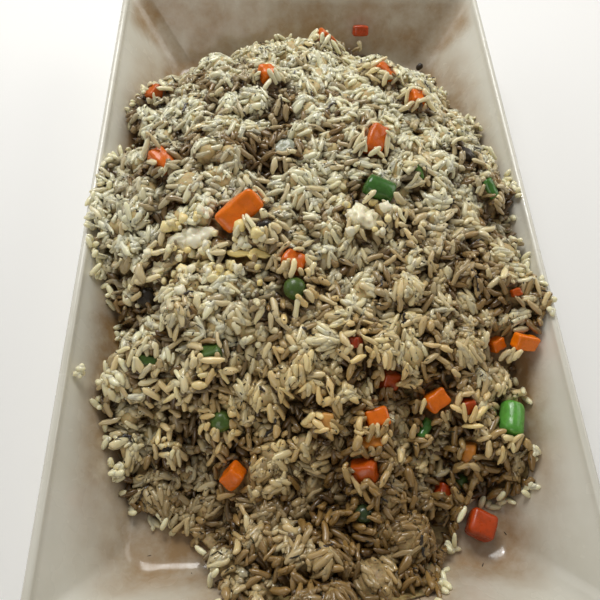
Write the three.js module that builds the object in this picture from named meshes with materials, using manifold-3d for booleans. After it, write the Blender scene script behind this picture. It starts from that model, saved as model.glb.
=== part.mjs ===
// A fried rice plate: a long white dish with four sloping walls, heaped with fried rice and diced vegetables.
// Millimetres. X runs across the dish, Y along it, Z up. The origin is on the table, under the dish's middle.
import * as THREE from "three";
import { ConvexGeometry } from "three/addons/geometries/ConvexGeometry.js";
import { mergeVertices } from "three/addons/utils/BufferGeometryUtils.js";
import Module from "manifold-3d";

// Driving dimensions
const dish = {
  width: 210,
  length: 344,
  height: 44,
  floorZ: 6, // inner floor above the table
  floorInset: 27, // from the outer rim to the crease between wall and floor
  wall: 3.6,
  rimRadius: 8, // plan radius of the rim's corners
  floorRadius: 12, // plan radius of the floor's corners
  fillet: 9, // between wall and floor
  footInset: 27.5,
  footWidth: 4.5,
  footHeight: 1.8,
  footSlope: 1.5, // how far the foot ring widens towards its root
  lipSteps: 5,
  filletSteps: 4,
  cornerSteps: 5,
};
const heap = {
  // Plan outline where the rice meets the dish: a crumbled edge with clumps pushed up the long walls
  outline: [
    [93, 0], [97, 20], [92, 46], [86, 82], [71, 130], [48, 144], [12, 151], [-28, 148], [-60, 137],
    [-82, 112], [-92, 82], [-89, 54], [-100, 26], [-98, -10], [-91, -28], [-84, -50], [-89, -84], [-82, -102],
    [-78, -120], [-60, -126], [-46, -138], [-34, -158], [38, -158], [52, -138], [60, -120], [88, -116],
    [85, -92], [87, -68], [101, -44], [95, -24],
  ],
  // Height of the crest above the table along Y
  crestLine: [
    [-164, 22], [-143, 31], [-124, 27], [-98, 44], [-60, 60], [10, 65], [70, 66], [112, 61], [150, 46],
  ],
  crown: 2.8, // exponents of the mound's section: a higher crown is flatter, a lower edge steeper
  edge: 0.62,
  // Clumps that stand up and hollows that open between them: x, y, radius, height
  relief: [
    [-42, 34, 20, 7], [-50, -18, 19, 4], [32, -15, 24, 4], [88, -16, 15, 6], [63, -47, 22, 7],
    [-21, -68, 18, 6], [-82, -76, 18, 5], [-46, -79, 18, 5], [77, -107, 18, 6], [0, 116, 25, 6],
    [3, -146, 30, 4], [-84, 0, 20, 4], [3, -86, 20, 5], [50, 55, 22, 4],
    [-18, -8, 13, -7], [14, 3, 12, -6], [-12, -128, 25, -5], [-50, -62, 14, -5], [-30, -76, 12, -5],
    [26, -78, 13, -5], [55, -72, 16, -6], [-49, -99, 12, -5], [-38, 17, 12, -5],
  ],
  lumpPitch: 24,
  lumpHeight: 6,
  knobPitch: 11,
  knobHeight: 6,
  grainLength: 8,
  grainWidth: 3,
  grainHeight: 2.6,
  grainPitch: 5.2,
  cellsAcross: 42,
  cellsAlong: 66,
};
// Toppings: [x, y, lift of the centre above the rice, [length, width, height], [turns in degrees]]
const carrots = [
  [10, 121, 3, [11, 8, 7], [10, 0, 20]],
  [-21, 75, 1.5, [8, 8, 8], [15, 10, 30]],
  [40, 88, 1.5, [11, 8, 7], [0, 15, -25]],
  [53, 64, 1.5, [8, 8, 8], [20, 0, 10]],
  [28, 30, 2, [14, 9, 9], [0, -20, 75]],
  [-80, 84, 1, [9, 7, 7], [0, 10, 60]],
  [-69, 22, 1.5, [12, 8, 7], [0, 20, -45]],
  [-33, -8, 3, [20, 11, 10], [10, -8, 40]],
  [-10, -33, 0.5, [10, 8, 8], [10, 0, -30]],
  [87, -40, 0.5, [5, 4, 4], [0, 0, 20]],
  [89, -58, 3.5, [12, 7, 6], [0, 0, -10]],
  [79, -59, 0.5, [7, 6, 6], [0, 10, 25]],
  [14, -67, 0, [6, 5, 5], [0, 20, 0]],
  [29, -77, 0, [8, 8, 6], [10, 0, 80]],
  [49, -84, 1, [10, 8, 8], [0, 15, 35]],
  [62, -87, 0.5, [6, 6, 6], [0, 10, 10]],
  [22, -93, 1, [10, 8, 7], [0, 0, 15]],
  [17, -112, 1, [11, 9, 8], [5, 0, 8]],
  [-35, -111, 1, [10, 8, 8], [10, 0, 40]],
  [52, -117, 1, [7, 6, 6], [0, 10, -20]],
];
const yellows = [
  [19, -102.5, 0.5, [10, 5, 5], [0, 0, 5]],
  [64, -103, 1, [9, 6, 6], [0, 0, 80]],
  [2, -94, 1, [7, 5, 5], [0, 0, 85]],
];
const peas = [
  [56, 75, 1.5, [8, 8, 8], [0, 0, 0]],
  [-10, -45, 1, [10, 10, 9.5], [0, 0, 0]],
  [-40, -91, 1.5, [9.5, 9.5, 9], [0, 0, 0]],
  [61, -113, 0.5, [7, 7, 7], [0, 0, 0]],
  [16, -128, 0.5, [8, 8, 8], [0, 0, 0]],
];
const beans = [
  [28, 3, 2, [14, 11, 10], [0, 10, -20]],
  [83, 12, 1, [11, 6, 4], [0, 0, -50]],
  [44, -94.5, 0.5, [10, 5, 5], [0, 0, 60]],
  [79, -93, 3, [15, 11, 11], [0, -40, 91]],
];
const greenSlivers = [
  [47, 14, 0.5, [9, 4, 3], [0, 0, 100]],
  [-71, -68, 0.5, [10, 4, 3], [0, 0, -8]],
  [-44, -69, 0.5, [9, 7, 5], [0, 0, 12]],
];
const mushrooms = [
  [75, 34, 1, [13, 9, 6], [0, 0, -15]],
  [-73, -38, 1, [11, 10, 7], [0, 0, 60]],
  [-22, -18, 0, [12, 10, 9], [0, 0, 30]],
  [-61, -101, 0.5, [8, 5, 4], [0, 0, -10]],
  [-22, -55, 0.5, [5, 4, 4], [0, 0, 40]],
];
const eggs = [
  [-54, -18, 0.5, [24, 12, 8], [0, 0, 10]],
  [20, -11, 1, [20, 13, 9], [0, 0, -8]],
  [-68, -29, 0.5, [15, 11, 7], [0, 0, 20]],
  [-50, -29, 1, [14, 6, 5], [0, 0, 8]],
  [-29, -28, 1, [22, 5, 4], [0, 0, -6]],
];
const onions = [[-13, 30, 0.5, [13, 11, 5], [0, 0, 25]]];
// Loose pieces on the bare dish, whose lift is above the glaze
const strayCarrots = [
  [36, 157, 3.4, [10, 6, 6], [0, 0, 0]],
  [67, -131, 5.4, [11, 11, 10], [0, 0, -25]],
];
const strayDark = [[76, 143, 3, [6, 5, 4], [0, 0, 30]]];
const strayRice = [
  [-86, -108, 3.6, [11, 7, 6], [0, 0, 20]],
  [-99, -72, 2.2, [7, 4.5, 3.5], [0, 0, 70]],
];
const strayGrains = [[-99, -24, 1.8, [8, 2.6, 2.4], [0, 0, 25]]];
// Dark shreds lying on the rice, part of the heap: x, y, length, direction in degrees
const shreds = [
  [68, -39, 13, -60], [-80, -95, 8, 15], [-73, -115, 7, 60], [-62, 62, 9, 75], [10, 55, 7, 20],
  [35, 108, 6, 30], [-45, 48, 8, -30], [62, 0, 8, 50], [-55, -45, 8, 15], [-5, -62, 8, -30],
  [35, -55, 7, 70], [-20, -95, 8, 40], [38, -140, 8, -80], [0, -140, 7, 25],
];
const shredWidth = 1.6;
const shredHeight = 1.2;
const chamfer = 0.12; // share of a dice's shortest side that is cut off its edges
const beanEnd = 0.8; // width of a cut bean's face against the bean's own
const beanSoftening = 0.08; // share of a bean's length over which each end narrows
const grainTip = 0.36; // where a grain starts to narrow, as a share of its length from the middle
const tear = { pitch: 3, depth: 0.16 }; // how a torn piece is pushed in and out
const gap = 0.45; // clearance between neighbouring solids
const pocketRoom = 2.2; // clearance round a topping on both sides together, in gaps
const slopeReach = 5; // half the span over which the slope under a piece is measured
const edgeEase = 0.1; // share of the way in over which the relief grows from the heap's edge
const seed = 2417;

const wasm = await Module();
wasm.setup();

const degrees = THREE.MathUtils.degToRad;
const clamp = THREE.MathUtils.clamp;
const lerp = THREE.MathUtils.lerp;

// Seeded random numbers from 0 to 1 for a whole-number cell and a channel
function hash(i, j, channel = 0) {
  let h = (Math.imul(i, 374761393) + Math.imul(j, 668265263)) ^ Math.imul(channel + seed, 2246822519);
  h = Math.imul(h ^ (h >>> 13), 1274126177);
  h = Math.imul(h ^ (h >>> 15), 2654435761);
  return ((h ^ (h >>> 16)) >>> 0) / 4294967296;
}

// Smooth noise from -1 to 1 with bumps about one pitch across
function noise(x, y, pitch, channel) {
  const u = x / pitch;
  const v = y / pitch;
  const i = Math.floor(u);
  const j = Math.floor(v);
  const s = THREE.MathUtils.smootherstep(u - i, 0, 1);
  const t = THREE.MathUtils.smootherstep(v - j, 0, 1);
  const low = lerp(hash(i, j, channel), hash(i + 1, j, channel), s);
  const high = lerp(hash(i, j + 1, channel), hash(i + 1, j + 1, channel), s);
  return 2 * lerp(low, high, t) - 1;
}

function material(color, roughness) {
  return new THREE.MeshStandardMaterial({ color, roughness, metalness: 0 });
}

function geometryOf(positions, triangles) {
  const made = new THREE.BufferGeometry();
  made.setAttribute("position", new THREE.Float32BufferAttribute(positions, 3));
  made.setIndex(triangles);
  return made;
}

function solidOf(geometry) {
  const bare = geometry.clone();
  bare.deleteAttribute("normal");
  bare.deleteAttribute("uv");
  const merged = mergeVertices(bare, 1e-3);
  return new wasm.Manifold(
    new wasm.Mesh({
      numProp: 3,
      vertProperties: new Float32Array(merged.attributes.position.array),
      triVerts: new Uint32Array(merged.index.array),
    }),
  );
}

function geometryFrom(solid) {
  const mesh = solid.getMesh();
  return geometryOf(mesh.vertProperties, Array.from(mesh.triVerts));
}

// The dish: rounded rectangles carried along a profile, up the outside, over the lip and down to the floor
const wallRun = dish.floorInset - dish.wall;
const wallRise = dish.height - dish.floorZ;
const wallAngle = Math.atan2(wallRise, wallRun);
const filletReach = dish.fillet * Math.tan(wallAngle / 2);

function dishRing(inset, z, radius) {
  const ring = [];
  const cornerX = dish.width / 2 - inset - radius;
  const cornerY = dish.length / 2 - inset - radius;
  const corners = [[1, 1], [-1, 1], [-1, -1], [1, -1]];
  corners.forEach(([sx, sy], quarter) => {
    for (let k = 0; k <= dish.cornerSteps; k++) {
      const a = ((quarter + k / dish.cornerSteps) * Math.PI) / 2;
      ring.push(sx * cornerX + radius * Math.cos(a), sy * cornerY + radius * Math.sin(a), z);
    }
  });
  return ring;
}

function dishGeometry() {
  const radiusAt = (z) => lerp(dish.floorRadius, dish.rimRadius, clamp((z - dish.floorZ) / wallRise, 0, 1));
  const footOuter = dish.footInset;
  const footInner = dish.footInset + dish.footWidth;
  const rings = [
    dishRing(footInner + dish.footSlope, dish.footHeight, dish.floorRadius),
    dishRing(footInner, 0, dish.floorRadius),
    dishRing(footOuter, 0, dish.floorRadius),
    dishRing(footOuter - dish.footSlope, dish.footHeight, dish.floorRadius + dish.footSlope),
  ];
  // The lip is a half circle as wide as the wall, leaning with it
  const lipRadius = dish.wall / 2;
  for (let k = 0; k <= dish.lipSteps; k++) {
    const a = Math.PI - (Math.PI * k) / dish.lipSteps;
    const inset = lipRadius + lipRadius * Math.cos(a);
    rings.push(dishRing(inset, dish.height - lipRadius + lipRadius * Math.sin(a), dish.rimRadius));
  }
  // Down the wall, round the fillet and onto the floor
  for (let k = 0; k <= dish.filletSteps; k++) {
    const turned = wallAngle * (1 - k / dish.filletSteps);
    const inset = dish.floorInset + filletReach - dish.fillet * Math.sin(turned);
    const z = dish.floorZ + dish.fillet * (1 - Math.cos(turned));
    rings.push(dishRing(inset, z, radiusAt(z)));
  }
  const count = rings[0].length / 3;
  const positions = rings.flat();
  const triangles = [];
  for (let r = 0; r + 1 < rings.length; r++) {
    for (let k = 0; k < count; k++) {
      const a = r * count + k;
      const b = r * count + ((k + 1) % count);
      triangles.push(a, b, b + count, a, b + count, a + count);
    }
  }
  // Flat panels under and over the floor, as fans from their middles
  const under = positions.length / 3;
  positions.push(0, 0, dish.footHeight, 0, 0, dish.floorZ);
  const top = (rings.length - 1) * count;
  for (let k = 0; k < count; k++) {
    const next = (k + 1) % count;
    triangles.push(under, next, k, under + 1, top + k, top + next);
  }
  return geometryOf(positions, triangles);
}

// Height of the dish's inner surface under a point
function dishSurface(x, y) {
  const qx = Math.abs(x) - (dish.width / 2 - dish.floorInset - dish.floorRadius);
  const qy = Math.abs(y) - (dish.length / 2 - dish.floorInset - dish.floorRadius);
  const outside = Math.hypot(Math.max(qx, 0), Math.max(qy, 0)) + Math.min(Math.max(qx, qy), 0);
  const along = outside - dish.floorRadius + filletReach; // from where the fillet starts
  if (along <= 0) return dish.floorZ;
  if (along < dish.fillet * Math.sin(wallAngle)) {
    return dish.floorZ + dish.fillet - Math.sqrt(dish.fillet ** 2 - along ** 2);
  }
  return dish.floorZ + (along - filletReach) * Math.tan(wallAngle);
}

// Value at a place along a list of [place, value] pairs, eased from each pair to the next
function eased(pairs, place) {
  let k = 0;
  while (k < pairs.length - 2 && place > pairs[k + 1][0]) k++;
  const [[from, low], [to, high]] = [pairs[k], pairs[k + 1]];
  return lerp(low, high, THREE.MathUtils.smoothstep(place, from, to));
}

// The outline as pairs of direction and distance from the middle, once round and a little more
const turn = 2 * Math.PI;
const polar = heap.outline.map(([x, y]) => [(Math.atan2(y, x) + turn) % turn, Math.hypot(x, y)]);
polar.sort((p, q) => p[0] - q[0]);
const [firstPoint, lastPoint] = [polar[0], polar[polar.length - 1]];
polar.unshift([lastPoint[0] - turn, lastPoint[1]]);
polar.push([firstPoint[0] + turn, firstPoint[1]]);

function outlineReach(angle) {
  return eased(polar, (angle + turn) % turn);
}

// Bumps of a rice grain's size: the highest of the long grains scattered near a point
function grainBump(x, y) {
  const ci = Math.round(x / heap.grainPitch);
  const cj = Math.round(y / heap.grainPitch);
  let best = 0;
  for (let i = ci - 1; i <= ci + 1; i++) {
    for (let j = cj - 1; j <= cj + 1; j++) {
      const angle = Math.PI * hash(i, j, 3);
      const dx = x - (i + hash(i, j, 1) - 0.5) * heap.grainPitch;
      const dy = y - (j + hash(i, j, 2) - 0.5) * heap.grainPitch;
      const along = (dx * Math.cos(angle) + dy * Math.sin(angle)) / (heap.grainLength / 2);
      const across = (-dx * Math.sin(angle) + dy * Math.cos(angle)) / (heap.grainWidth / 2);
      const round = 1 - along ** 2 - across ** 2;
      if (round > 0) best = Math.max(best, heap.grainHeight * Math.sqrt(round) * (0.6 + 0.4 * hash(i, j, 4)));
    }
  }
  return best;
}

// Height of the heap's top: a mound over its edge, with lumps, knobs and grains
function heapTop(x, y) {
  const angle = Math.atan2(y, x);
  const reach = outlineReach(angle);
  const share = Math.min(Math.hypot(x, y) / reach, 1);
  const edge = dishSurface(reach * Math.cos(angle), reach * Math.sin(angle)) + gap;
  const swell = (1 - share ** heap.crown) ** heap.edge;
  const inner = THREE.MathUtils.smoothstep(1 - share, 0, edgeEase);
  let lumps =
    heap.lumpHeight * 0.5 * noise(x, y, heap.lumpPitch, 5) +
    heap.knobHeight * 0.5 * noise(x, y, heap.knobPitch, 6);
  for (const [px, py, radius, height] of heap.relief) {
    lumps += height * Math.max(1 - ((x - px) ** 2 + (y - py) ** 2) / radius ** 2, 0) ** 2;
  }
  const plain = edge + (eased(heap.crestLine, y) - edge) * swell;
  return plain + inner * (lumps + grainBump(x, y) - heap.grainHeight);
}

// The heap: a grid stretched from a square to the outline, closed underneath against the dish
function heapGeometry() {
  const { cellsAcross: m, cellsAlong: n } = heap;
  const positions = [];
  const triangles = [];
  const at = (i, j) => j * (m + 1) + i;
  for (let j = 0; j <= n; j++) {
    for (let i = 0; i <= m; i++) {
      const s = (2 * i) / m - 1;
      const t = (2 * j) / n - 1;
      const px = s * Math.sqrt(1 - (t * t) / 2);
      const py = t * Math.sqrt(1 - (s * s) / 2);
      const angle = Math.atan2(py * dish.length, px * dish.width);
      const share = Math.hypot(px, py);
      const rim = i === 0 || j === 0 || i === m || j === n;
      const reach = outlineReach(angle);
      const x = share * reach * Math.cos(angle);
      const y = share * reach * Math.sin(angle);
      positions.push(x, y, rim ? dishSurface(x, y) + gap : heapTop(x, y));
    }
  }
  for (let j = 0; j < n; j++) {
    for (let i = 0; i < m; i++) {
      const [a, b, c, d] = [at(i, j), at(i + 1, j), at(i + 1, j + 1), at(i, j + 1)];
      if ((i + j) % 2) triangles.push(a, b, c, a, c, d);
      else triangles.push(a, b, d, b, c, d);
    }
  }
  // The edge loop, anticlockwise seen from above, and its shadow just inside the dish's flat floor
  const loop = [];
  for (let i = 0; i < m; i++) loop.push(at(i, 0));
  for (let j = 0; j < n; j++) loop.push(at(m, j));
  for (let i = m; i > 0; i--) loop.push(at(i, n));
  for (let j = n; j > 0; j--) loop.push(at(0, j));
  const flatX = dish.width / 2 - dish.floorInset - filletReach - 2 * gap;
  const flatY = dish.length / 2 - dish.floorInset - filletReach - 2 * gap;
  const first = positions.length / 3;
  for (const v of loop) {
    const [x, y] = [positions[3 * v], positions[3 * v + 1]];
    const k = 0.98 / Math.max(Math.abs(x) / flatX, Math.abs(y) / flatY, 1);
    positions.push(k * x, k * y, dish.floorZ + gap);
  }
  const middle = positions.length / 3;
  positions.push(0, 0, dish.floorZ + gap);
  loop.forEach((v, k) => {
    const next = (k + 1) % loop.length;
    triangles.push(v, first + k, first + next, v, first + next, loop[next]);
    triangles.push(middle, first + next, first + k);
  });
  return geometryOf(positions, triangles);
}

const platter = new THREE.Group();

function add(name, geometry, look) {
  const mesh = new THREE.Mesh(geometry, look);
  mesh.name = name;
  platter.add(mesh);
  return mesh;
}

// A block with chamfered edges
function diceShape([a, b, c]) {
  const cut = chamfer * Math.min(a, b, c);
  const points = [];
  for (const sx of [-1, 1]) {
    for (const sy of [-1, 1]) {
      for (const sz of [-1, 1]) {
        points.push(
          new THREE.Vector3((sx * a) / 2, sy * (b / 2 - cut), sz * (c / 2 - cut)),
          new THREE.Vector3(sx * (a / 2 - cut), (sy * b) / 2, sz * (c / 2 - cut)),
          new THREE.Vector3(sx * (a / 2 - cut), sy * (b / 2 - cut), (sz * c) / 2),
        );
      }
    }
  }
  return new ConvexGeometry(points);
}

// A round thing scaled to its sizes
function peaShape([a, b, c]) {
  return new THREE.IcosahedronGeometry(0.5, 1).scale(a, b, c);
}

// A length cut from a bean: a cylinder along x with softened ends
function beanShape([a, b, c]) {
  const sides = 10;
  const points = [];
  const shoulder = 0.5 - beanSoftening;
  for (const [place, reach] of [[-0.5, beanEnd], [-shoulder, 1], [shoulder, 1], [0.5, beanEnd]]) {
    for (let k = 0; k < sides; k++) {
      const angle = (turn * k) / sides;
      const [y, z] = [0.5 * b * reach * Math.cos(angle), 0.5 * c * reach * Math.sin(angle)];
      points.push(new THREE.Vector3(a * place, y, z));
    }
  }
  return new ConvexGeometry(points);
}

// A torn piece: a ball pushed in and out, then scaled to its sizes
function lumpShape([a, b, c]) {
  const ball = new THREE.IcosahedronGeometry(0.5, 1);
  const points = ball.attributes.position;
  for (let k = 0; k < points.count; k++) {
    const [x, y, z] = [points.getX(k), points.getY(k), points.getZ(k)];
    const push = 1 - tear.depth * (0.5 - 0.5 * noise(x * a + y * b, z * c + a, tear.pitch, 8));
    points.setXYZ(k, x * push * a, y * push * b, z * push * c);
  }
  return ball;
}

// A rice grain: a spindle along x
function grainShape([a, b, c]) {
  const points = [new THREE.Vector3(-a / 2, 0, 0), new THREE.Vector3(a / 2, 0, 0)];
  const sides = 6;
  for (const [place, reach] of [[-grainTip, 0.75], [0, 1], [grainTip, 0.75]]) {
    for (let k = 0; k < sides; k++) {
      const angle = (turn * k) / sides;
      const [y, z] = [0.5 * b * reach * Math.cos(angle), 0.5 * c * reach * Math.sin(angle)];
      points.push(new THREE.Vector3(a * place, y, z));
    }
  }
  return new ConvexGeometry(points);
}

// Frame on a surface: z along its normal, turned by the item's own angles, the origin lifted off it
function standing(surface, [x, y, lift, , angles]) {
  const span = 2 * slopeReach;
  const normal = new THREE.Vector3(
    (surface(x - slopeReach, y) - surface(x + slopeReach, y)) / span,
    (surface(x, y - slopeReach) - surface(x, y + slopeReach)) / span,
    1,
  ).normalize();
  const upright = new THREE.Quaternion().setFromUnitVectors(new THREE.Vector3(0, 0, 1), normal);
  const [ax, ay, az] = angles.map(degrees);
  const turned = new THREE.Quaternion().setFromEuler(new THREE.Euler(ax, ay, az, "ZYX"));
  const origin = new THREE.Vector3(x, y, surface(x, y)).addScaledVector(normal, lift);
  return new THREE.Matrix4().compose(origin, upright.multiply(turned), new THREE.Vector3(1, 1, 1));
}

const pockets = [];

// Pieces sunk into the heap; each leaves a pocket a little larger than itself
function addToppings(name, items, shape, look) {
  items.forEach((item, k) => {
    const size = item[3];
    const frame = standing(heapTop, item);
    add(`${name}_${k + 1}`, shape(size).applyMatrix4(frame), look);
    const [gx, gy, gz] = size.map((side) => (side + pocketRoom * gap) / side);
    const room = shape === diceShape ? new THREE.BoxGeometry(...size) : shape(size);
    pockets.push(solidOf(room.scale(gx, gy, gz).applyMatrix4(frame)));
  });
}

// Pieces that lie apart from the heap, on the dish's floor or leaning on its wall
function addStray(name, items, shape, look) {
  items.forEach((item, k) => {
    add(`${name}_${k + 1}`, shape(item[3]).applyMatrix4(standing(dishSurface, item)), look);
  });
}

add("dish", dishGeometry(), material(0xe6e4dc, 0.25));
addToppings("carrot", carrots, diceShape, material(0xd8641c, 0.4));
addToppings("yellow_carrot", yellows, diceShape, material(0xd9952e, 0.4));
addToppings("pea", peas, peaShape, material(0x4f7a2a, 0.35));
addToppings("green_bean", beans, beanShape, material(0x4c7c30, 0.3));
addToppings("green_sliver", greenSlivers, diceShape, material(0x47602b, 0.4));
addToppings("mushroom", mushrooms, lumpShape, material(0x2e2a22, 0.4));
addToppings("egg", eggs, lumpShape, material(0xdccf9a, 0.45));
addToppings("onion", onions, lumpShape, material(0xc9cabb, 0.3));
addStray("stray_carrot", strayCarrots, diceShape, material(0xc4532a, 0.4));
addStray("stray_bean", strayDark, lumpShape, material(0x2e2a22, 0.4));
addStray("stray_rice", strayRice, lumpShape, material(0xd9cfae, 0.45));
addStray("stray_grain", strayGrains, grainShape, material(0xd9d4c0, 0.4));

// The heap with its shreds fused on and the pockets cut out; loose scraps of rice are dropped
const shredSolids = shreds.map(([x, y, length, direction]) => {
  const frame = standing(heapTop, [x, y, shredHeight / 4, [length, shredWidth, shredHeight], [0, 0, direction]]);
  return solidOf(new THREE.BoxGeometry(length, shredWidth, shredHeight).applyMatrix4(frame));
});
const pile = wasm.Manifold.union([solidOf(heapGeometry()), ...shredSolids]);
const bodies = pile.subtract(wasm.Manifold.union(pockets)).decompose();
bodies.sort((p, q) => q.volume() - p.volume());
add("rice_heap", geometryFrom(bodies[0]), material(0xd9cfae, 0.5));

export default platter;
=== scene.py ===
# Fried rice plate: loose rice grains, diced vegetables and herbs heaped on a long glazed dish.
# Metres, +Z up, the dish's middle on the table at the origin, +Y along the dish away from the viewer.
import bpy
import math
import numpy as np
from mathutils import Matrix, Vector


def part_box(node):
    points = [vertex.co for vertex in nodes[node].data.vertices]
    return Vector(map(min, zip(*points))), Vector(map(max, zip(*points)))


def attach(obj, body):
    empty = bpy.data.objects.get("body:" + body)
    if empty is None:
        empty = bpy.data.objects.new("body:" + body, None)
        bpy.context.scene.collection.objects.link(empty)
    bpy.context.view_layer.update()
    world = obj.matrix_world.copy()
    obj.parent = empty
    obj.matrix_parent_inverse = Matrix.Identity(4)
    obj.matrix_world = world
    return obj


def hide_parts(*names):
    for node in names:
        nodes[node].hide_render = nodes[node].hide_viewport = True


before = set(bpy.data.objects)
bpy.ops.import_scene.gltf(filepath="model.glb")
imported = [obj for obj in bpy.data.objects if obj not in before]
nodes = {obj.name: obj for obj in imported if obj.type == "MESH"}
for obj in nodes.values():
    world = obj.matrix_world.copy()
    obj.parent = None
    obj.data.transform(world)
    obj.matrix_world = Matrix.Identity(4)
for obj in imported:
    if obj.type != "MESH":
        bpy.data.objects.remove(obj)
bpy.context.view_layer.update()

scene = bpy.context.scene
scene.view_settings.view_transform = "Standard"
mm = 0.001  # the shapes below are worked out in millimetres
seed = 41
latticeSize = 32  # random values along each side of the noise's lattice
turn = 2 * math.pi


# Mesh helpers

def makePiece(name, points, quads, tris, material, replaces=()):
    # Joins points in millimetres and face arrays into one object that rides on the dish
    points = np.asarray(points, dtype=np.float64)
    quads = np.asarray(quads, dtype=np.int32).reshape(-1, 4)
    tris = np.asarray(tris, dtype=np.int32).reshape(-1, 3)
    # Signed volume: the sum over triangles of a . (b x c); turned over where it is negative
    fans = np.concatenate([quads[:, [0, 1, 2]], quads[:, [0, 2, 3]], tris])
    a, b, c = [points[fans[:, k]] for k in range(3)]
    if np.einsum("ij,ij->", a, np.cross(b, c)) < 0:
        quads, tris = quads[:, ::-1], tris[:, ::-1]
    corners = np.concatenate([quads.ravel(), tris.ravel()])
    totals = np.concatenate([np.full(len(quads), 4), np.full(len(tris), 3)])
    starts = np.concatenate([[0], np.cumsum(totals)[:-1]])
    mesh = bpy.data.meshes.new(name)
    mesh.vertices.add(len(points))
    mesh.vertices.foreach_set("co", (points * mm).astype(np.float32).ravel())
    mesh.loops.add(len(corners))
    mesh.loops.foreach_set("vertex_index", corners.astype(np.int32))
    mesh.polygons.add(len(totals))
    mesh.polygons.foreach_set("loop_start", starts.astype(np.int32))
    mesh.polygons.foreach_set("use_smooth", np.full(len(totals), True))
    mesh.update(calc_edges=True)
    mesh.validate()
    mesh.materials.append(material)
    piece = bpy.data.objects.new(name, mesh)
    scene.collection.objects.link(piece)
    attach(piece, "root")
    if replaces:
        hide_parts(*replaces)
    return piece


def paint(piece, name, values):
    # One number per point, read by the material as an attribute
    layer = piece.data.attributes.new(name, "FLOAT", "POINT")
    layer.data.foreach_set("value", np.asarray(values, dtype=np.float32).ravel())


def gridFaces(rows, columns):
    # Quads of a grid whose columns close into a ring
    r, c = np.meshgrid(np.arange(rows - 1), np.arange(columns), indexing="ij")
    beside = (c + 1) % columns
    corners = [r * columns + c, r * columns + beside, (r + 1) * columns + beside, (r + 1) * columns + c]
    return np.stack(corners, -1).reshape(-1, 4)


def capFaces(rows, columns, first, last):
    # Fans from two pole points to the first and the last ring
    c = np.arange(columns)
    beside = (c + 1) % columns
    top = (rows - 1) * columns
    low = np.stack([beside, c, np.full(columns, first)], -1)
    high = np.stack([top + c, top + beside, np.full(columns, last)], -1)
    return np.concatenate([low, high])


def repeated(faces, count, step):
    # The same faces for each of count like shapes of step points
    return (faces[None] + (np.arange(count) * step)[:, None, None]).reshape(-1, faces.shape[1])


def eased(t):
    t = np.clip(t, 0, 1)
    return t * t * (3 - 2 * t)


def unit(vectors):
    return vectors / np.linalg.norm(vectors, axis=-1, keepdims=True)


def noise(x, y, z, pitch, channel):
    # From -1 to 1: random values on a lattice, eased between its eight nearest points
    lattice = np.random.default_rng(seed + channel).random((latticeSize, latticeSize, latticeSize))
    scaled = [np.asarray(v, dtype=np.float64) / pitch for v in (x, y, z)]
    cell = [np.floor(v).astype(int) for v in scaled]
    share = [eased(v - c) for v, c in zip(scaled, cell)]
    total = 0
    for steps in np.ndindex(2, 2, 2):
        weight = 1
        for part, step in zip(share, steps):
            weight = weight * (part if step else 1 - part)
        total = total + weight * lattice[tuple((c + step) % latticeSize for c, step in zip(cell, steps))]
    return 2 * total - 1


def nodeArrays(name):
    # Points in millimetres and triangles of a CAD node
    mesh = nodes[name].data
    points = np.empty(len(mesh.vertices) * 3)
    mesh.vertices.foreach_get("co", points)
    mesh.calc_loop_triangles()
    tris = np.empty(len(mesh.loop_triangles) * 3, dtype=np.int32)
    mesh.loop_triangles.foreach_get("vertices", tris)
    return points.reshape(-1, 3) / mm, tris.reshape(-1, 3)


def numberOf(name):
    return int(name.rsplit("_", 1)[1])


def nodesOf(kind):
    # CAD nodes named kind_1, kind_2 and so on
    return sorted((n for n in nodes if n.rsplit("_", 1)[0] == kind), key=numberOf)


# Material helpers

def tint(red, green, blue):
    # A colour as a screen shows it, 0 to 255, turned into the linear values a shader takes
    return tuple(((v / 255 + 0.055) / 1.055) ** 2.4 for v in (red, green, blue)) + (1,)


def place(tree, kind, sockets=None, **settings):
    # Adds a shader node; a socket value is a number, a colour or another node's output
    made = tree.nodes.new(kind)
    for key, value in settings.items():
        setattr(made, key, value)
    for key, value in (sockets or {}).items():
        if isinstance(value, bpy.types.NodeSocket):
            tree.links.new(value, made.inputs[key])
        else:
            made.inputs[key].default_value = value
    return made


def mixColour(tree, factor, first, second):
    # Sockets 6 and 7 of the mix node are its two colours, and output 2 is the mixed one
    return place(tree, "ShaderNodeMix", {0: factor, 6: first, 7: second}, data_type="RGBA").outputs[2]


def noiseField(tree, where, scale, detail, **settings):
    sockets = {"Vector": where, "Scale": scale, "Detail": detail}
    sockets.update(settings)
    return place(tree, "ShaderNodeTexNoise", sockets).outputs["Fac"]


def objectPlace(tree):
    return place(tree, "ShaderNodeTexCoord").outputs["Object"]


def mapped(tree, value, fromMin, fromMax, toMin=0.0, toMax=1.0, **settings):
    sockets = {"Value": value, "From Min": fromMin, "From Max": fromMax, "To Min": toMin, "To Max": toMax}
    return place(tree, "ShaderNodeMapRange", sockets, **settings).outputs["Result"]


def newMaterial(name, **values):
    # A Principled material; keyword names are its sockets with the spaces left out
    material = bpy.data.materials.new(name)
    material.use_nodes = True
    tree = material.node_tree
    shader = tree.nodes["Principled BSDF"]
    for socket in shader.inputs:
        key = socket.name.replace(" ", "")
        if key in values:
            socket.default_value = values[key]
    return material, tree, shader


def newGroup(name, inputs, outputs):
    tree = bpy.data.node_groups.new(name, "ShaderNodeTree")
    for label, kind, value in inputs:
        socket = tree.interface.new_socket(label, in_out="INPUT", socket_type=kind)
        socket.default_value = value
    for label, kind in outputs:
        tree.interface.new_socket(label, in_out="OUTPUT", socket_type=kind)
    return tree, tree.nodes.new("NodeGroupInput"), tree.nodes.new("NodeGroupOutput")


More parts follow.
